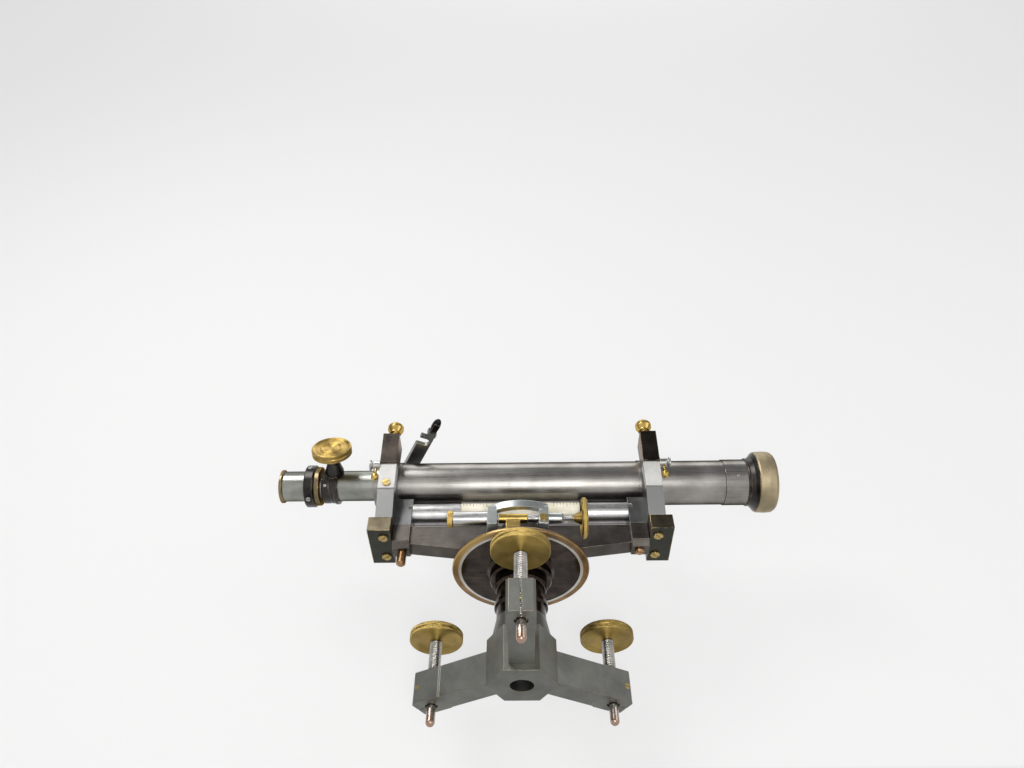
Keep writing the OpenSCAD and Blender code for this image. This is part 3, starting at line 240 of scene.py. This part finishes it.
def brushedGrain(tree, place, look):
    # brushing runs along one direction: a noise squeezed on the other two
    brush = add(tree, "ShaderNodeMapping", Scale=look["brush"])
    wire(tree, place, brush.inputs["Vector"])
    return noise(tree, brush.outputs[0], 1.0, 3.0, 0.65)


def metalFinish(name, ownLook):
    look = {**plainMetal, **ownLook}
    mat, tree, out = newTree(name)
    skin = add(tree, "ShaderNodeBsdfPrincipled", Metallic=look["metallic"])
    coords = add(tree, "ShaderNodeTexCoord")
    place = coords.outputs["Object"]
    blotch = noise(tree, place, look["blotch"], 6.0, 0.6)
    colour = tones(tree, blotch, allMetal["tarnish"], look["dark"], look["light"])
    grain = turnedGrain(tree, place, look, skin) if "turned" in look else brushedGrain(tree, place, look)
    if "streak" in look:
        # the brushing also shows in the tone
        shade = spread(tree, grain, *allMetal["streaks"], 0.0, look["streak"])
        colour = blendColour(tree, shade, colour, look["light"])
    if "scratch" in look:
        scrape = add(tree, "ShaderNodeMapping", Rotation=allMetal["scrapeTurn"],
                     Scale=allMetal["scrapeScale"])
        wire(tree, place, scrape.inputs["Vector"])
        lines = noise(tree, scrape.outputs[0], 1.0, 2.0)
        shade = spread(tree, lines, *allMetal["scrapes"], 0.0, look["scratch"])
        colour = blendColour(tree, shade, colour, look["worn"])
    for way, ends, over, amount in look["sides"]:
        # painted light and shade: another tone, darker or lighter, on the faces that look one way
        facing = vectorCalc(tree, "DOT_PRODUCT", coords.outputs["Normal"], way)
        colour = blendColour(tree, spread(tree, facing, *ends, 0.0, amount), colour, over)
    if "inner" in look:
        # the faces that look to the middle of the bar
        across = []
        for source in (place, coords.outputs["Normal"]):
            split = add(tree, "ShaderNodeSeparateXYZ")
            wire(tree, source, split.inputs[0])
            across.append(split.outputs["X"])
        both = calc(tree, "MULTIPLY", *across)
        colour = blendColour(tree, spread(tree, both, *allMetal["inwards"]), colour, look["inner"])
    for centre, reach, ragged, over in look["spots"]:
        # a patch of another tone, ragged at its edge
        shift = spread(tree, blotch, *allMetal["ragged"], -ragged, ragged)
        far = calc(tree, "ADD", vectorCalc(tree, "DISTANCE", place, centre), shift)
        colour = blendColour(tree, spread(tree, far, *reach), colour, over)
    # the edge: where a rounded normal leaves the flat one, broken up by a noise
    soft = add(tree, "ShaderNodeBevel", samples=4, Radius=look["edge"])
    flat = add(tree, "ShaderNodeNewGeometry")
    turn = vectorCalc(tree, "DOT_PRODUCT", soft.outputs[0], flat.outputs["Normal"])
    patch = noise(tree, place, look["patch"], 4.0, 0.7)
    rub = calc(tree, "MULTIPLY", spread(tree, turn, *allMetal["edges"]),
               spread(tree, patch, *allMetal["rubbed"]))
    colour = blendColour(tree, calc(tree, "MULTIPLY", rub, look["wear"]), colour, look["worn"])
    bump = add(tree, "ShaderNodeBump", Strength=look["bump"], Distance=allMetal["bumpHigh"])
    wire(tree, grain, bump.inputs["Height"])
    wire(tree, soft.outputs[0], bump.inputs["Normal"])
    wire(tree, bump.outputs[0], skin.inputs["Normal"])
    wire(tree, colour, skin.inputs["Base Color"])
    wire(tree, spread(tree, grain, *allMetal["grain"], *look["rough"]), skin.inputs["Roughness"])
    if "rim" in look:
        # how dark it turns at a glancing angle
        skin.inputs["Specular Tint"].default_value = (*look["rim"], 1)
    wire(tree, skin.outputs[0], out.inputs["Surface"])
    return mat


# the finishes: tarnished from dark to light, worn at the edges, rough from the first value to the second.
# A side is painted light or shade on the faces that look one way: it has its direction, where it begins and
# ends, its colour and its amount.
# A spot has its centre, how far it reaches outside and inside, its raggedness and its colour.
alongX, alongZ = (25, 900, 900), (900, 900, 60)
# painted shade and painted reflection: the tops of the tubes are made darker
tubeTopPaintedShade = ((0, 0, 1), (0.3, 0.95), (0.07, 0.065, 0.06), 0.5)
clipPatch, clipTip, screwTip = (0.26, 0.255, 0.19), (0.018, 0.017, 0.017), (0.42, 0.29, 0.22)
looks = {
    "castBronze": {"dark": (0.135, 0.138, 0.125), "light": (0.20, 0.20, 0.18), "worn": (0.42, 0.29, 0.14),
                   "rough": (0.36, 0.52), "brush": (300, 300, 900), "wear": 0.85, "blotch": 45.0},
    "wyeBronze": {"dark": (0.12, 0.12, 0.115), "light": (0.19, 0.19, 0.185), "worn": (0.45, 0.36, 0.20),
                  "rough": (0.36, 0.5), "brush": alongZ, "wear": 0.5, "streak": 0.3,
                  # painted light: the front faces, which look towards -y, are made a lighter grey
                  "sides": [((0, -1, 0), (0.55, 0.8), (0.34, 0.34, 0.335), 0.85)]},
    "barBronze": {"dark": (0.055, 0.047, 0.042), "light": (0.11, 0.098, 0.088), "worn": (0.44, 0.36, 0.26),
                  "rough": (0.3, 0.44), "brush": alongX, "wear": 0.7, "streak": 0.5},
    "plateBronze": {"dark": (0.06, 0.05, 0.034), "light": (0.13, 0.11, 0.075), "worn": (0.70, 0.50, 0.20),
                    "rough": (0.28, 0.44), "wear": 1.0, "edge": 0.0009, "patch": 90.0,
                    # painted shade and painted reflection: the undersides of the plates are made near black
                    "sides": [((0, 0, -1), (0.6, 0.9), (0.03, 0.034, 0.03), 0.8)]},
    "clipBronze": {"dark": (0.15, 0.15, 0.148), "light": (0.25, 0.25, 0.245), "worn": (0.5, 0.46, 0.38),
                   "rough": (0.3, 0.44), "wear": 0.6,
                   "spots": [((-0.0767, -0.0221, 0.190), (0.0046, 0.0028), 0.0014, clipPatch),
                             ((0.0545, 0.0425, 0.190), (0.0046, 0.0028), 0.0014, clipPatch),
                             ((-0.0655, -0.0465, 0.1926), (0.013, 0.009), 0.002, clipTip),
                             ((0.0300, 0.0536, 0.1926), (0.013, 0.009), 0.002, clipTip)]},
    "blockSteel": {"dark": (0.10, 0.10, 0.10), "light": (0.17, 0.17, 0.17), "worn": (0.5, 0.46, 0.38),
                   "rough": (0.3, 0.44), "wear": 0.5, "brush": alongZ},
    "postBlack": {"dark": (0.016, 0.014, 0.013), "light": (0.045, 0.037, 0.030), "worn": (0.34, 0.21, 0.09),
                  "rough": (0.26, 0.42), "wear": 0.8, "inner": (0.16, 0.085, 0.035)},
    "blackMetal": {"dark": (0.024, 0.023, 0.022), "light": (0.06, 0.056, 0.052),
                   "worn": (0.40, 0.28, 0.14), "rough": (0.24, 0.4), "wear": 0.7},
    "glossBlack": {"dark": (0.018, 0.013, 0.011), "light": (0.05, 0.037, 0.03), "worn": (0.30, 0.20, 0.12),
                   "rough": (0.1, 0.2), "wear": 0.4, "scratch": 0.35, "blotch": 90.0},
    "shaftSteel": {"dark": (0.30, 0.29, 0.27), "light": (0.50, 0.48, 0.45), "worn": (0.66, 0.62, 0.54),
                   "rough": (0.2, 0.34), "wear": 0.5, "blotch": 160.0,
                   "spots": [((0, -0.0703, -0.012), (0.018, 0.004), 0.003, screwTip),
                             ((-0.0609, 0.0352, -0.012), (0.018, 0.004), 0.003, screwTip),
                             ((0.0609, 0.0352, -0.012), (0.018, 0.004), 0.003, screwTip)]},
    "steel": {"dark": (0.36, 0.355, 0.34), "light": (0.55, 0.545, 0.53), "worn": (0.72, 0.70, 0.66),
              "rough": (0.2, 0.34), "wear": 0.4},
    "catchWhite": {"dark": (0.40, 0.395, 0.38), "light": (0.52, 0.515, 0.495), "worn": (0.80, 0.79, 0.76),
                   "rough": (0.5, 0.62), "wear": 0.4, "brush": alongZ, "streak": 0.4, "metallic": 0.2},
    "ringWhite": {"dark": (0.48, 0.48, 0.46), "light": (0.66, 0.65, 0.62), "worn": (0.75, 0.73, 0.68),
                  "rough": (0.3, 0.42), "wear": 0.3},
    "bridgeGrey": {"dark": (0.30, 0.32, 0.315), "light": (0.44, 0.46, 0.45), "worn": (0.66, 0.66, 0.62),
                   "rough": (0.26, 0.4), "wear": 0.6},
    "barrelSilver": {"dark": (0.40, 0.40, 0.395), "light": (0.62, 0.62, 0.61), "worn": (0.75, 0.74, 0.7),
                     "rough": (0.22, 0.34), "wear": 0.4, "rim": (0.35, 0.35, 0.34), "streak": 0.3},
    "levelSilver": {"dark": (0.36, 0.355, 0.35), "light": (0.58, 0.575, 0.565), "worn": (0.72, 0.70, 0.66),
                    "rough": (0.24, 0.38), "wear": 0.3, "rim": (0.22, 0.21, 0.20), "streak": 0.4,
                    # painted shade and painted reflection: the top of the level tube and the faces that look
                    # away to +y are made darker
                    "sides": [((0, 0, 1), (0.12, 0.4), (0.05, 0.047, 0.045), 0.9),
                              ((0, 1, 0), (0.0, 0.5), (0.10, 0.09, 0.08), 0.8)]},
    "tubeBronze": {"dark": (0.20, 0.19, 0.175), "light": (0.34, 0.325, 0.305), "worn": (0.52, 0.44, 0.32),
                   "rough": (0.24, 0.36), "brush": alongX, "wear": 0.4, "rim": (0.12, 0.11, 0.10),
                   "streak": 0.4, "blotch": 40.0, "sides": [tubeTopPaintedShade]},
    "rearBronze": {"dark": (0.19, 0.195, 0.175), "light": (0.32, 0.325, 0.295), "worn": (0.52, 0.44, 0.32),
                   "rough": (0.26, 0.4), "brush": alongX, "wear": 0.4, "rim": (0.16, 0.16, 0.14),
                   "streak": 0.4, "sides": [tubeTopPaintedShade]},
    "brass": {"dark": (0.46, 0.31, 0.09), "light": (0.68, 0.48, 0.16), "worn": (0.84, 0.66, 0.30),
              "rough": (0.18, 0.3), "wear": 0.6, "rim": (0.7, 0.6, 0.4)},
    "screwBrass": {"dark": (0.30, 0.22, 0.08), "light": (0.52, 0.38, 0.15), "worn": (0.76, 0.58, 0.28),
                   "rough": (0.24, 0.38), "wear": 0.8, "blotch": 260.0},
    "rimBrass": {"dark": (0.16, 0.095, 0.045), "light": (0.34, 0.215, 0.105), "worn": (0.60, 0.40, 0.17),
                 "rough": (0.26, 0.42), "wear": 0.9, "edge": 0.0008,
                 "spots": [((-0.036, -0.030, 0.0872), (0.034, 0.012), 0.006, (0.50, 0.34, 0.13))]},
    "redBronze": {"dark": (0.22, 0.12, 0.06), "light": (0.40, 0.24, 0.12), "worn": (0.6, 0.42, 0.22),
                  "rough": (0.28, 0.42), "wear": 0.7},
    "drawBronze": {"dark": (0.14, 0.11, 0.065), "light": (0.26, 0.2, 0.11), "worn": (0.6, 0.44, 0.22),
                   "rough": (0.26, 0.4), "wear": 0.7, "rim": (0.3, 0.25, 0.18)},
    "khakiBrass": {"dark": (0.26, 0.215, 0.135), "light": (0.40, 0.33, 0.21), "worn": (0.50, 0.30, 0.15),
                   "rough": (0.42, 0.58), "wear": 0.9, "edge": 0.0008},
}


def turnedBrass(centre, axis, **other):
    return {"dark": (0.26, 0.18, 0.05), "light": (0.44, 0.31, 0.095), "worn": (0.85, 0.66, 0.30),
            "rough": (0.46, 0.58), "wear": 0.8, "edge": 0.0004, "bump": 0.05,
            "turned": (centre, axis), **other}


# where the pieces stand that turn round an axis of their own
footCircle = 0.0703
footAngles = {"front": -90, "left": 150, "right": 30}
footPlace = {which: (footCircle * math.cos(math.radians(a)), footCircle * math.sin(math.radians(a)), 0)
             for which, a in footAngles.items()}
focusAxis = {"place": (-0.1454, 0, 0.167), "lean": 16}
focusWay = (0, -math.cos(math.radians(focusAxis["lean"])), math.sin(math.radians(focusAxis["lean"])))
tangentAxis = (-0.030, 0.1096)   # its y and z
clampHeight = 0.0809

for which, spot in footPlace.items():
    looks["headBrass" + which.title()] = turnedBrass(spot, (0, 0, 1))
looks["knobBrass"] = turnedBrass(focusAxis["place"], focusWay, light=(0.62, 0.42, 0.12), rough=(0.36, 0.5))
looks["tangentBrass"] = turnedBrass((0, *tangentAxis), (1, 0, 0))
looks["clampBrass"] = turnedBrass((0, 0, clampHeight), (0, 1, 0))
looks["discGloss"] = {**looks["glossBlack"], "turned": ((0, 0, 0), (0, 0, 1)), "rings": 700.0,
                      "spokes": 0.5, "bump": 0.03}
finishes = {name: metalFinish(name, look) for name, look in looks.items()}


def glassFinish(name, tint, rough):
    mat, tree, out = newTree(name)
    skin = add(tree, "ShaderNodeBsdfPrincipled", Roughness=rough, IOR=1.5)
    skin.inputs["Base Color"].default_value = (*tint, 1)
    skin.inputs["Transmission Weight"].default_value = 1.0
    wire(tree, skin.outputs[0], out.inputs["Surface"])
    return mat


# the pale middle of the level tube, a little yellowed, and the ink of its graduations
enamelLook = {"blotch": 90.0, "ends": (0.35, 0.65), "rough": 0.26}


def enamelFinish(name, dark, light):
    mat, tree, out = newTree(name)
    skin = add(tree, "ShaderNodeBsdfPrincipled", Roughness=enamelLook["rough"])
    blotch = noise(tree, add(tree, "ShaderNodeTexCoord").outputs["Object"], enamelLook["blotch"], 5.0)
    wire(tree, tones(tree, blotch, enamelLook["ends"], dark, light), skin.inputs["Base Color"])
    wire(tree, skin.outputs[0], out.inputs["Surface"])
    return mat


finishes["lensGlass"] = glassFinish("lensGlass", (0.86, 0.92, 0.93), 0.02)
finishes["enamel"] = enamelFinish("enamel", (0.60, 0.55, 0.42), (0.76, 0.72, 0.60))
finishes["tickInk"] = enamelFinish("tickInk", (0.05, 0.04, 0.03), (0.10, 0.08, 0.06))

# which finish each solid takes
dress = {
    "castBronze": ["tribrach", "tribrach_arms"],
    "wyeBronze": ["wye_left", "wye_right"],
    "barBronze": ["bar"],
    "plateBronze": ["wye_plates"],
    "clipBronze": ["clip_left", "clip_right"],
    "blockSteel": ["level_blocks"],
    "glossBlack": ["socket"],
    "discGloss": ["clamp_disc"],
    "postBlack": ["catch_posts"],
    "blackMetal": ["focus_housing", "crosshair_cell", "object_flare"],
    "shaftSteel": ["levelling_screw_front", "levelling_screw_left", "levelling_screw_right"],
    "steel": ["spindle", "clip_pivots", "tangent_screw", "tangent_spring", "spring_plunger",
              "focus_pinion", "catch_side_screws", "crosshair_screws", "draw_tube"],
    "catchWhite": ["catch_blocks"],
    "ringWhite": ["disc_bright_ring"],
    "bridgeGrey": ["tangent_bridge"],
    "barrelSilver": ["spring_barrel"],
    "levelSilver": ["level_tube"],
    "tubeBronze": ["telescope_tube", "object_cell", "telescope_collars"],
    "rearBronze": ["rear_tube", "eyepiece"],
    "brass": ["spindle_nut", "clamp_tongue", "catch_screw_left", "catch_screw_right", "catch_pins",
              "spring_cap"],
    "screwBrass": ["face_screws", "plate_screws", "arm_pinch_screws"],
    "headBrassFront": ["levelling_head_front"],
    "headBrassLeft": ["levelling_head_left"],
    "headBrassRight": ["levelling_head_right"],
    "knobBrass": ["focus_knob"],
    "tangentBrass": ["tangent_head"],
    "clampBrass": ["clamp_screw"],
    "rimBrass": ["disc_rim"],
    "redBronze": ["bar_end_screws"],
    "drawBronze": ["draw_ring", "eyepiece_flange"],
    "khakiBrass": ["object_ring"],
    "lensGlass": ["object_glass", "eye_lens"],
    "enamel": ["level_vial"],
}
for finish, members in dress.items():
    for member in members:
        solid = nodes[member]
        solid.data.materials.clear()
        solid.data.materials.append(finishes[finish])
bareNodes = sorted(set(nodes) - {member for members in dress.values() for member in members})
print("level: finishes set; bare nodes:", bareNodes)

# new pieces: a mesh made in place, shaded by angle, that rides on a body
meshing = {"merge": 2e-7, "sharpAngle": 32, "rimSlack": 5e-5, "ridgeSunk": 1e-4, "upward": 0.9}


def makePiece(name, bm, body, finish, instead=None):
    bmesh.ops.remove_doubles(bm, verts=bm.verts, dist=meshing["merge"])
    bmesh.ops.recalc_face_normals(bm, faces=bm.faces)
    mesh = bpy.data.meshes.new(name)
    bm.to_mesh(mesh)
    bm.free()
    mesh.shade_smooth()
    mesh.set_sharp_from_angle(angle=math.radians(meshing["sharpAngle"]))
    piece = bpy.data.objects.new(name, mesh)
    bpy.context.scene.collection.objects.link(piece)
    piece.data.materials.append(finishes[finish])
    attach(piece, body)
    if instead:
        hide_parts(instead)
    print("level: made", name, len(mesh.polygons), "faces")


def putAt(bm, place, way):
    # what was made upright at the origin goes to its place, with its top towards way
    turn = Vector((0, 0, 1)).rotation_difference(Vector(way)).to_matrix().to_4x4()
    bmesh.ops.transform(bm, matrix=Matrix.Translation(Vector(place)) @ turn, verts=bm.verts)


def lathe(bm, profile, steps):
    # turns a line of (radius, height) points about Z and returns what it made
    line = [bm.verts.new((r, 0, h)) for r, h in profile]
    edges = [bm.edges.new(pair) for pair in zip(line, line[1:])]
    before = set(bm.verts) - set(line)
    bmesh.ops.spin(bm, geom=line + edges, cent=(0, 0, 0), axis=(0, 0, 1), angle=2 * math.pi, steps=steps,
                   use_merge=True)
    return [v for v in bm.verts if v not in before]


def latheMilled(bm, profile, rim, teeth, depth):
    # turns a profile and presses every second column of its rim inwards
    def pressed(v):
        return round(math.atan2(v.co.y, v.co.x) / math.pi * teeth) % 2 == 1
    points = lathe(bm, profile, 2 * teeth)
    chosen = [v for v in points if v.co.xy.length > rim - meshing["rimSlack"] and pressed(v)]
    bmesh.ops.scale(bm, vec=(1 - depth / rim, 1 - depth / rim, 1), verts=chosen)


# milled heads: flat below, two milled beads, a lip, a dish and a raised ring round the middle
milledHead = {"edge": 0.0005, "grooveDeep": 0.0007, "grooveHalf": 0.0007, "lip": 0.0014, "dish": 0.0009}


def addHead(bm, head):
    r, t, hub, start = head["radius"], head["thick"], head["hub"], head["start"]
    e, g, w = milledHead["edge"], milledHead["grooveDeep"], milledHead["grooveHalf"]
    lip, dish = milledHead["lip"], milledHead["dish"]
    profile = [(0, 0), (r - e, 0), (r, e), (r, t / 2 - w), (r - g, t / 2), (r, t / 2 + w), (r, t - e),
               (r - e, t), (r - lip, t), (r - 2 * lip, t - dish), (hub + lip, t - dish),
               (hub + lip / 2, t - dish / 4), (hub, t - dish / 4), (hub - lip / 2, t - dish), (0, t - dish)]
    latheMilled(bm, [(x, h + start) for x, h in profile], r, head["teeth"], head["depth"])


levellingHead = {"radius": 0.019, "thick": 0.006, "hub": 0.0057, "start": 0.0, "teeth": 96, "depth": 0.00022,
                 "height": 0.051}
for which, spot in footPlace.items():
    bm = bmesh.new()
    addHead(bm, levellingHead)
    putAt(bm, (*spot[:2], levellingHead["height"]), (0, 0, 1))
    makePiece("head" + which.title(), bm, "foot_" + which, "headBrass" + which.title(),
              "levelling_head_" + which)

focusKnob = {"radius": 0.0152, "thick": 0.0064, "hub": 0.0072, "start": 0.0, "teeth": 84, "depth": 0.00022,
             "out": 0.0296}
bm = bmesh.new()
addHead(bm, focusKnob)
putAt(bm, Vector(focusAxis["place"]) + focusKnob["out"] * Vector(focusWay), focusWay)
makePiece("focusKnobMilled", bm, "focus", "knobBrass", "focus_knob")


# threads: a core with a three-sided ridge wound round it, its root sunk in the core
def wind(bm, core, crest, pitch, start, end, steps):
    root = core - meshing["ridgeSunk"]
    turns = (end - start) / pitch - 1
    ridge = [bm.verts.new((r, 0, start + h)) for r, h in ((root, 0), (crest, pitch / 2), (root, pitch))]
    face = bm.faces.new(ridge)
    bmesh.ops.spin(bm, geom=ridge + list(face.edges) + [face], cent=(0, 0, 0), axis=(0, 0, 1),
                   dvec=(0, 0, pitch / steps), angle=2 * math.pi * turns, steps=int(turns * steps))
    bmesh.ops.holes_fill(bm, edges=bm.edges, sides=3)


shaft = {"radius": 0.0043, "core": 0.0037, "pitch": 0.0013, "foot": 0.005, "top": 0.0505,
         "point": 0.0031, "tip": -0.010, "pointSteps": 8, "steps": 22, "sides": 32}
for which, spot in footPlace.items():
    core, top, foot, point = shaft["core"], shaft["top"], shaft["foot"], shaft["point"]
    bm = bmesh.new()
    ball = [(point * math.sin(a), shaft["tip"] + point * (1 - math.cos(a)))
            for a in [k * math.pi / 2 / shaft["pointSteps"] for k in range(shaft["pointSteps"] + 1)]]
    lathe(bm, ball + [(point, foot), (core, foot), (core, top), (0, top)], shaft["sides"])
    wind(bm, core, shaft["radius"], shaft["pitch"], foot, top, shaft["steps"])
    putAt(bm, spot, (0, 0, 1))
    makePiece("shaft" + which.title(), bm, "foot_" + which, "shaftSteel", "levelling_screw_" + which)

# the tangent screw: a nose in the lug, a plain shank in the bush and a thread between the bush and the head
tangentScrew = {"x": 0.0056, "radius": 0.0021, "core": 0.0017, "pitch": 0.0009, "noseRadius": 0.0026,
                "noseEnd": 0.00233, "coneEnd": 0.0035, "collarRadius": 0.003, "collarEnd": 0.007,
                "shankEnd": 0.0254, "length": 0.0324, "steps": 18, "sides": 32}
t = tangentScrew
bm = bmesh.new()
lathe(bm, [(0, 0), (t["noseRadius"], 0), (t["noseRadius"], t["noseEnd"]), (t["collarRadius"], t["coneEnd"]),
           (t["collarRadius"], t["collarEnd"]), (t["radius"], t["collarEnd"]), (t["radius"], t["shankEnd"]),
           (t["core"], t["shankEnd"]), (t["core"], t["length"]), (0, t["length"])], t["sides"])
wind(bm, t["core"], t["radius"], t["pitch"], t["shankEnd"], t["length"], t["steps"])
putAt(bm, (t["x"], *tangentAxis), (1, 0, 0))
makePiece("tangentShaft", bm, "tangent", "steel", "tangent_screw")

# its head is a thin disc with a milled rim, on a cone
tangentHead = {"x": 0.038, "coneSmall": 0.0025, "coneLarge": 0.005, "coneEnd": 0.0058, "coneSides": 48,
               "radius": 0.0145, "thick": 0.004, "web": 0.0012, "round": 0.001, "lip": 0.0004,
               "start": 0.0054, "teeth": 80, "depth": 0.00022}
t = tangentHead
r, e, low, high = t["radius"], t["round"], t["start"], t["start"] + t["thick"]
bm = bmesh.new()
lathe(bm, [(0, 0), (t["coneSmall"], 0), (t["coneLarge"], t["coneEnd"]), (0, t["coneEnd"])], t["coneSides"])
latheMilled(bm, [(0, low + t["web"]), (r - 4 * e, low + t["web"]), (r - 2 * e, low + t["lip"]), (r - e, low),
                 (r, low + e), (r, high - e), (r - e, high), (r - 2 * e, high - t["lip"]),
                 (r - 4 * e, high - t["web"]), (0, high - t["web"])], r, t["teeth"], t["depth"])
putAt(bm, (t["x"], *tangentAxis), (1, 0, 0))
makePiece("tangentHeadMilled", bm, "tangent", "tangentBrass", "tangent_head")

# the cap of the spring barrel, milled for the fingers
springCap = {"x": -0.0519, "radius": 0.0059, "length": 0.0043, "bevel": 0.0005, "teeth": 36, "depth": 0.00018}
r, h, e = springCap["radius"], springCap["length"], springCap["bevel"]
bm = bmesh.new()
latheMilled(bm, [(0, e), (r - 3 * e, 0), (r - e, 0), (r, e), (r, h - e), (r - e, h), (0, h)],
            r, springCap["teeth"], springCap["depth"])
putAt(bm, (springCap["x"], *tangentAxis), (1, 0, 0))
makePiece("springCapMilled", bm, "alidade", "brass", "spring_cap")

# the clamp screw behind the column: a plain shank with a small milled head
clampShank = {"y": 0.015, "radius": 0.0025, "length": 0.037, "sides": 32}
clampHead = {"radius": 0.008, "thick": 0.006, "hub": 0.0035, "start": 0.036, "teeth": 44, "depth": 0.0002}
r, h = clampShank["radius"], clampShank["length"]
bm = bmesh.new()
lathe(bm, [(0, 0), (r, 0), (r, h), (0, h)], clampShank["sides"])
addHead(bm, clampHead)
putAt(bm, (0, clampShank["y"], clampHeight), (0, 1, 0))
makePiece("clampScrewMilled", bm, "clamp_key", "clampBrass", "clamp_screw")

# small slotted screws let into the telescope
slotted = {"high": 0.0006, "slot": 0.0004, "sides": 28, "taper": 0.93, "deep": 0.8}


def slottedHead(bm, radius):
    high, half = slotted["high"], slotted["slot"] / 2
    bmesh.ops.create_cone(bm, cap_ends=True, segments=slotted["sides"], radius1=radius,
                          radius2=slotted["taper"] * radius, depth=2 * high)
    for side in (-half, half):
        bmesh.ops.bisect_plane(bm, geom=bm.verts[:] + bm.edges[:] + bm.faces[:], plane_co=(side, 0, 0),
                               plane_no=(1, 0, 0))
    floor = [f for f in bm.faces
             if f.normal.z > meshing["upward"] and abs(f.calc_center_median().x) < half]
    cut = bmesh.ops.extrude_face_region(bm, geom=floor)
    bmesh.ops.delete(bm, geom=floor, context="FACES_ONLY")
    sunk = [v for v in cut["geom"] if isinstance(v, bmesh.types.BMVert)]
    bmesh.ops.translate(bm, vec=(0, 0, -slotted["deep"] * high), verts=sunk)


smallScrews = {
    "collarScrew": {"place": (-0.1515, -0.0106, 0.1586), "way": (0, -0.785, -0.62), "radius": 0.0013},
    "sleeveScrew": {"place": (0.1680, -0.0163, 0.1598), "way": (0, -0.915, -0.403), "radius": 0.0011},
    "sleeveScrewFar": {"place": (0.1680, 0.0163, 0.1742), "way": (0, 0.915, 0.403), "radius": 0.0011},
}
for name, spec in smallScrews.items():
    bm = bmesh.new()
    slottedHead(bm, spec["radius"])
    putAt(bm, spec["place"], spec["way"])
    makePiece(name, bm, "telescope", "steel")

# graduations on the glass of the level: short arcs at both ends, every fourth a longer one
ticks = {"first": 0.0255, "step": 0.0025, "count": 8, "every": 4, "wide": 0.00028, "high": 0.00006,
         "tube": 0.008, "axis": 0.138, "arc": (12, 44), "longArc": (2, 50), "arcSteps": 6}
half, inner, outer = ticks["wide"] / 2, ticks["tube"] - ticks["high"], ticks["tube"] + ticks["high"]
bm = bmesh.new()
for side in (-1, 1):
    for k in range(ticks["count"]):
        x = side * (ticks["first"] + k * ticks["step"])
        low, high = ticks["longArc"] if k % ticks["every"] == 0 else ticks["arc"]
        ring = [bm.verts.new((x + across, -out, 0))
                for across, out in ((-half, inner), (half, inner), (half, outer), (-half, outer))]
        face = bm.faces.new(ring)
        geom = ring + list(face.edges) + [face]
        bmesh.ops.rotate(bm, cent=(0, 0, 0), matrix=Matrix.Rotation(math.radians(-low), 3, "X"), verts=ring)
        bmesh.ops.spin(bm, geom=geom, cent=(0, 0, 0), axis=(-1, 0, 0), angle=math.radians(high - low),
                       steps=ticks["arcSteps"])
bmesh.ops.holes_fill(bm, edges=bm.edges, sides=4)
bmesh.ops.translate(bm, vec=(0, 0, ticks["axis"]), verts=bm.verts)
makePiece("levelTicks", bm, "alidade", "tickInk")
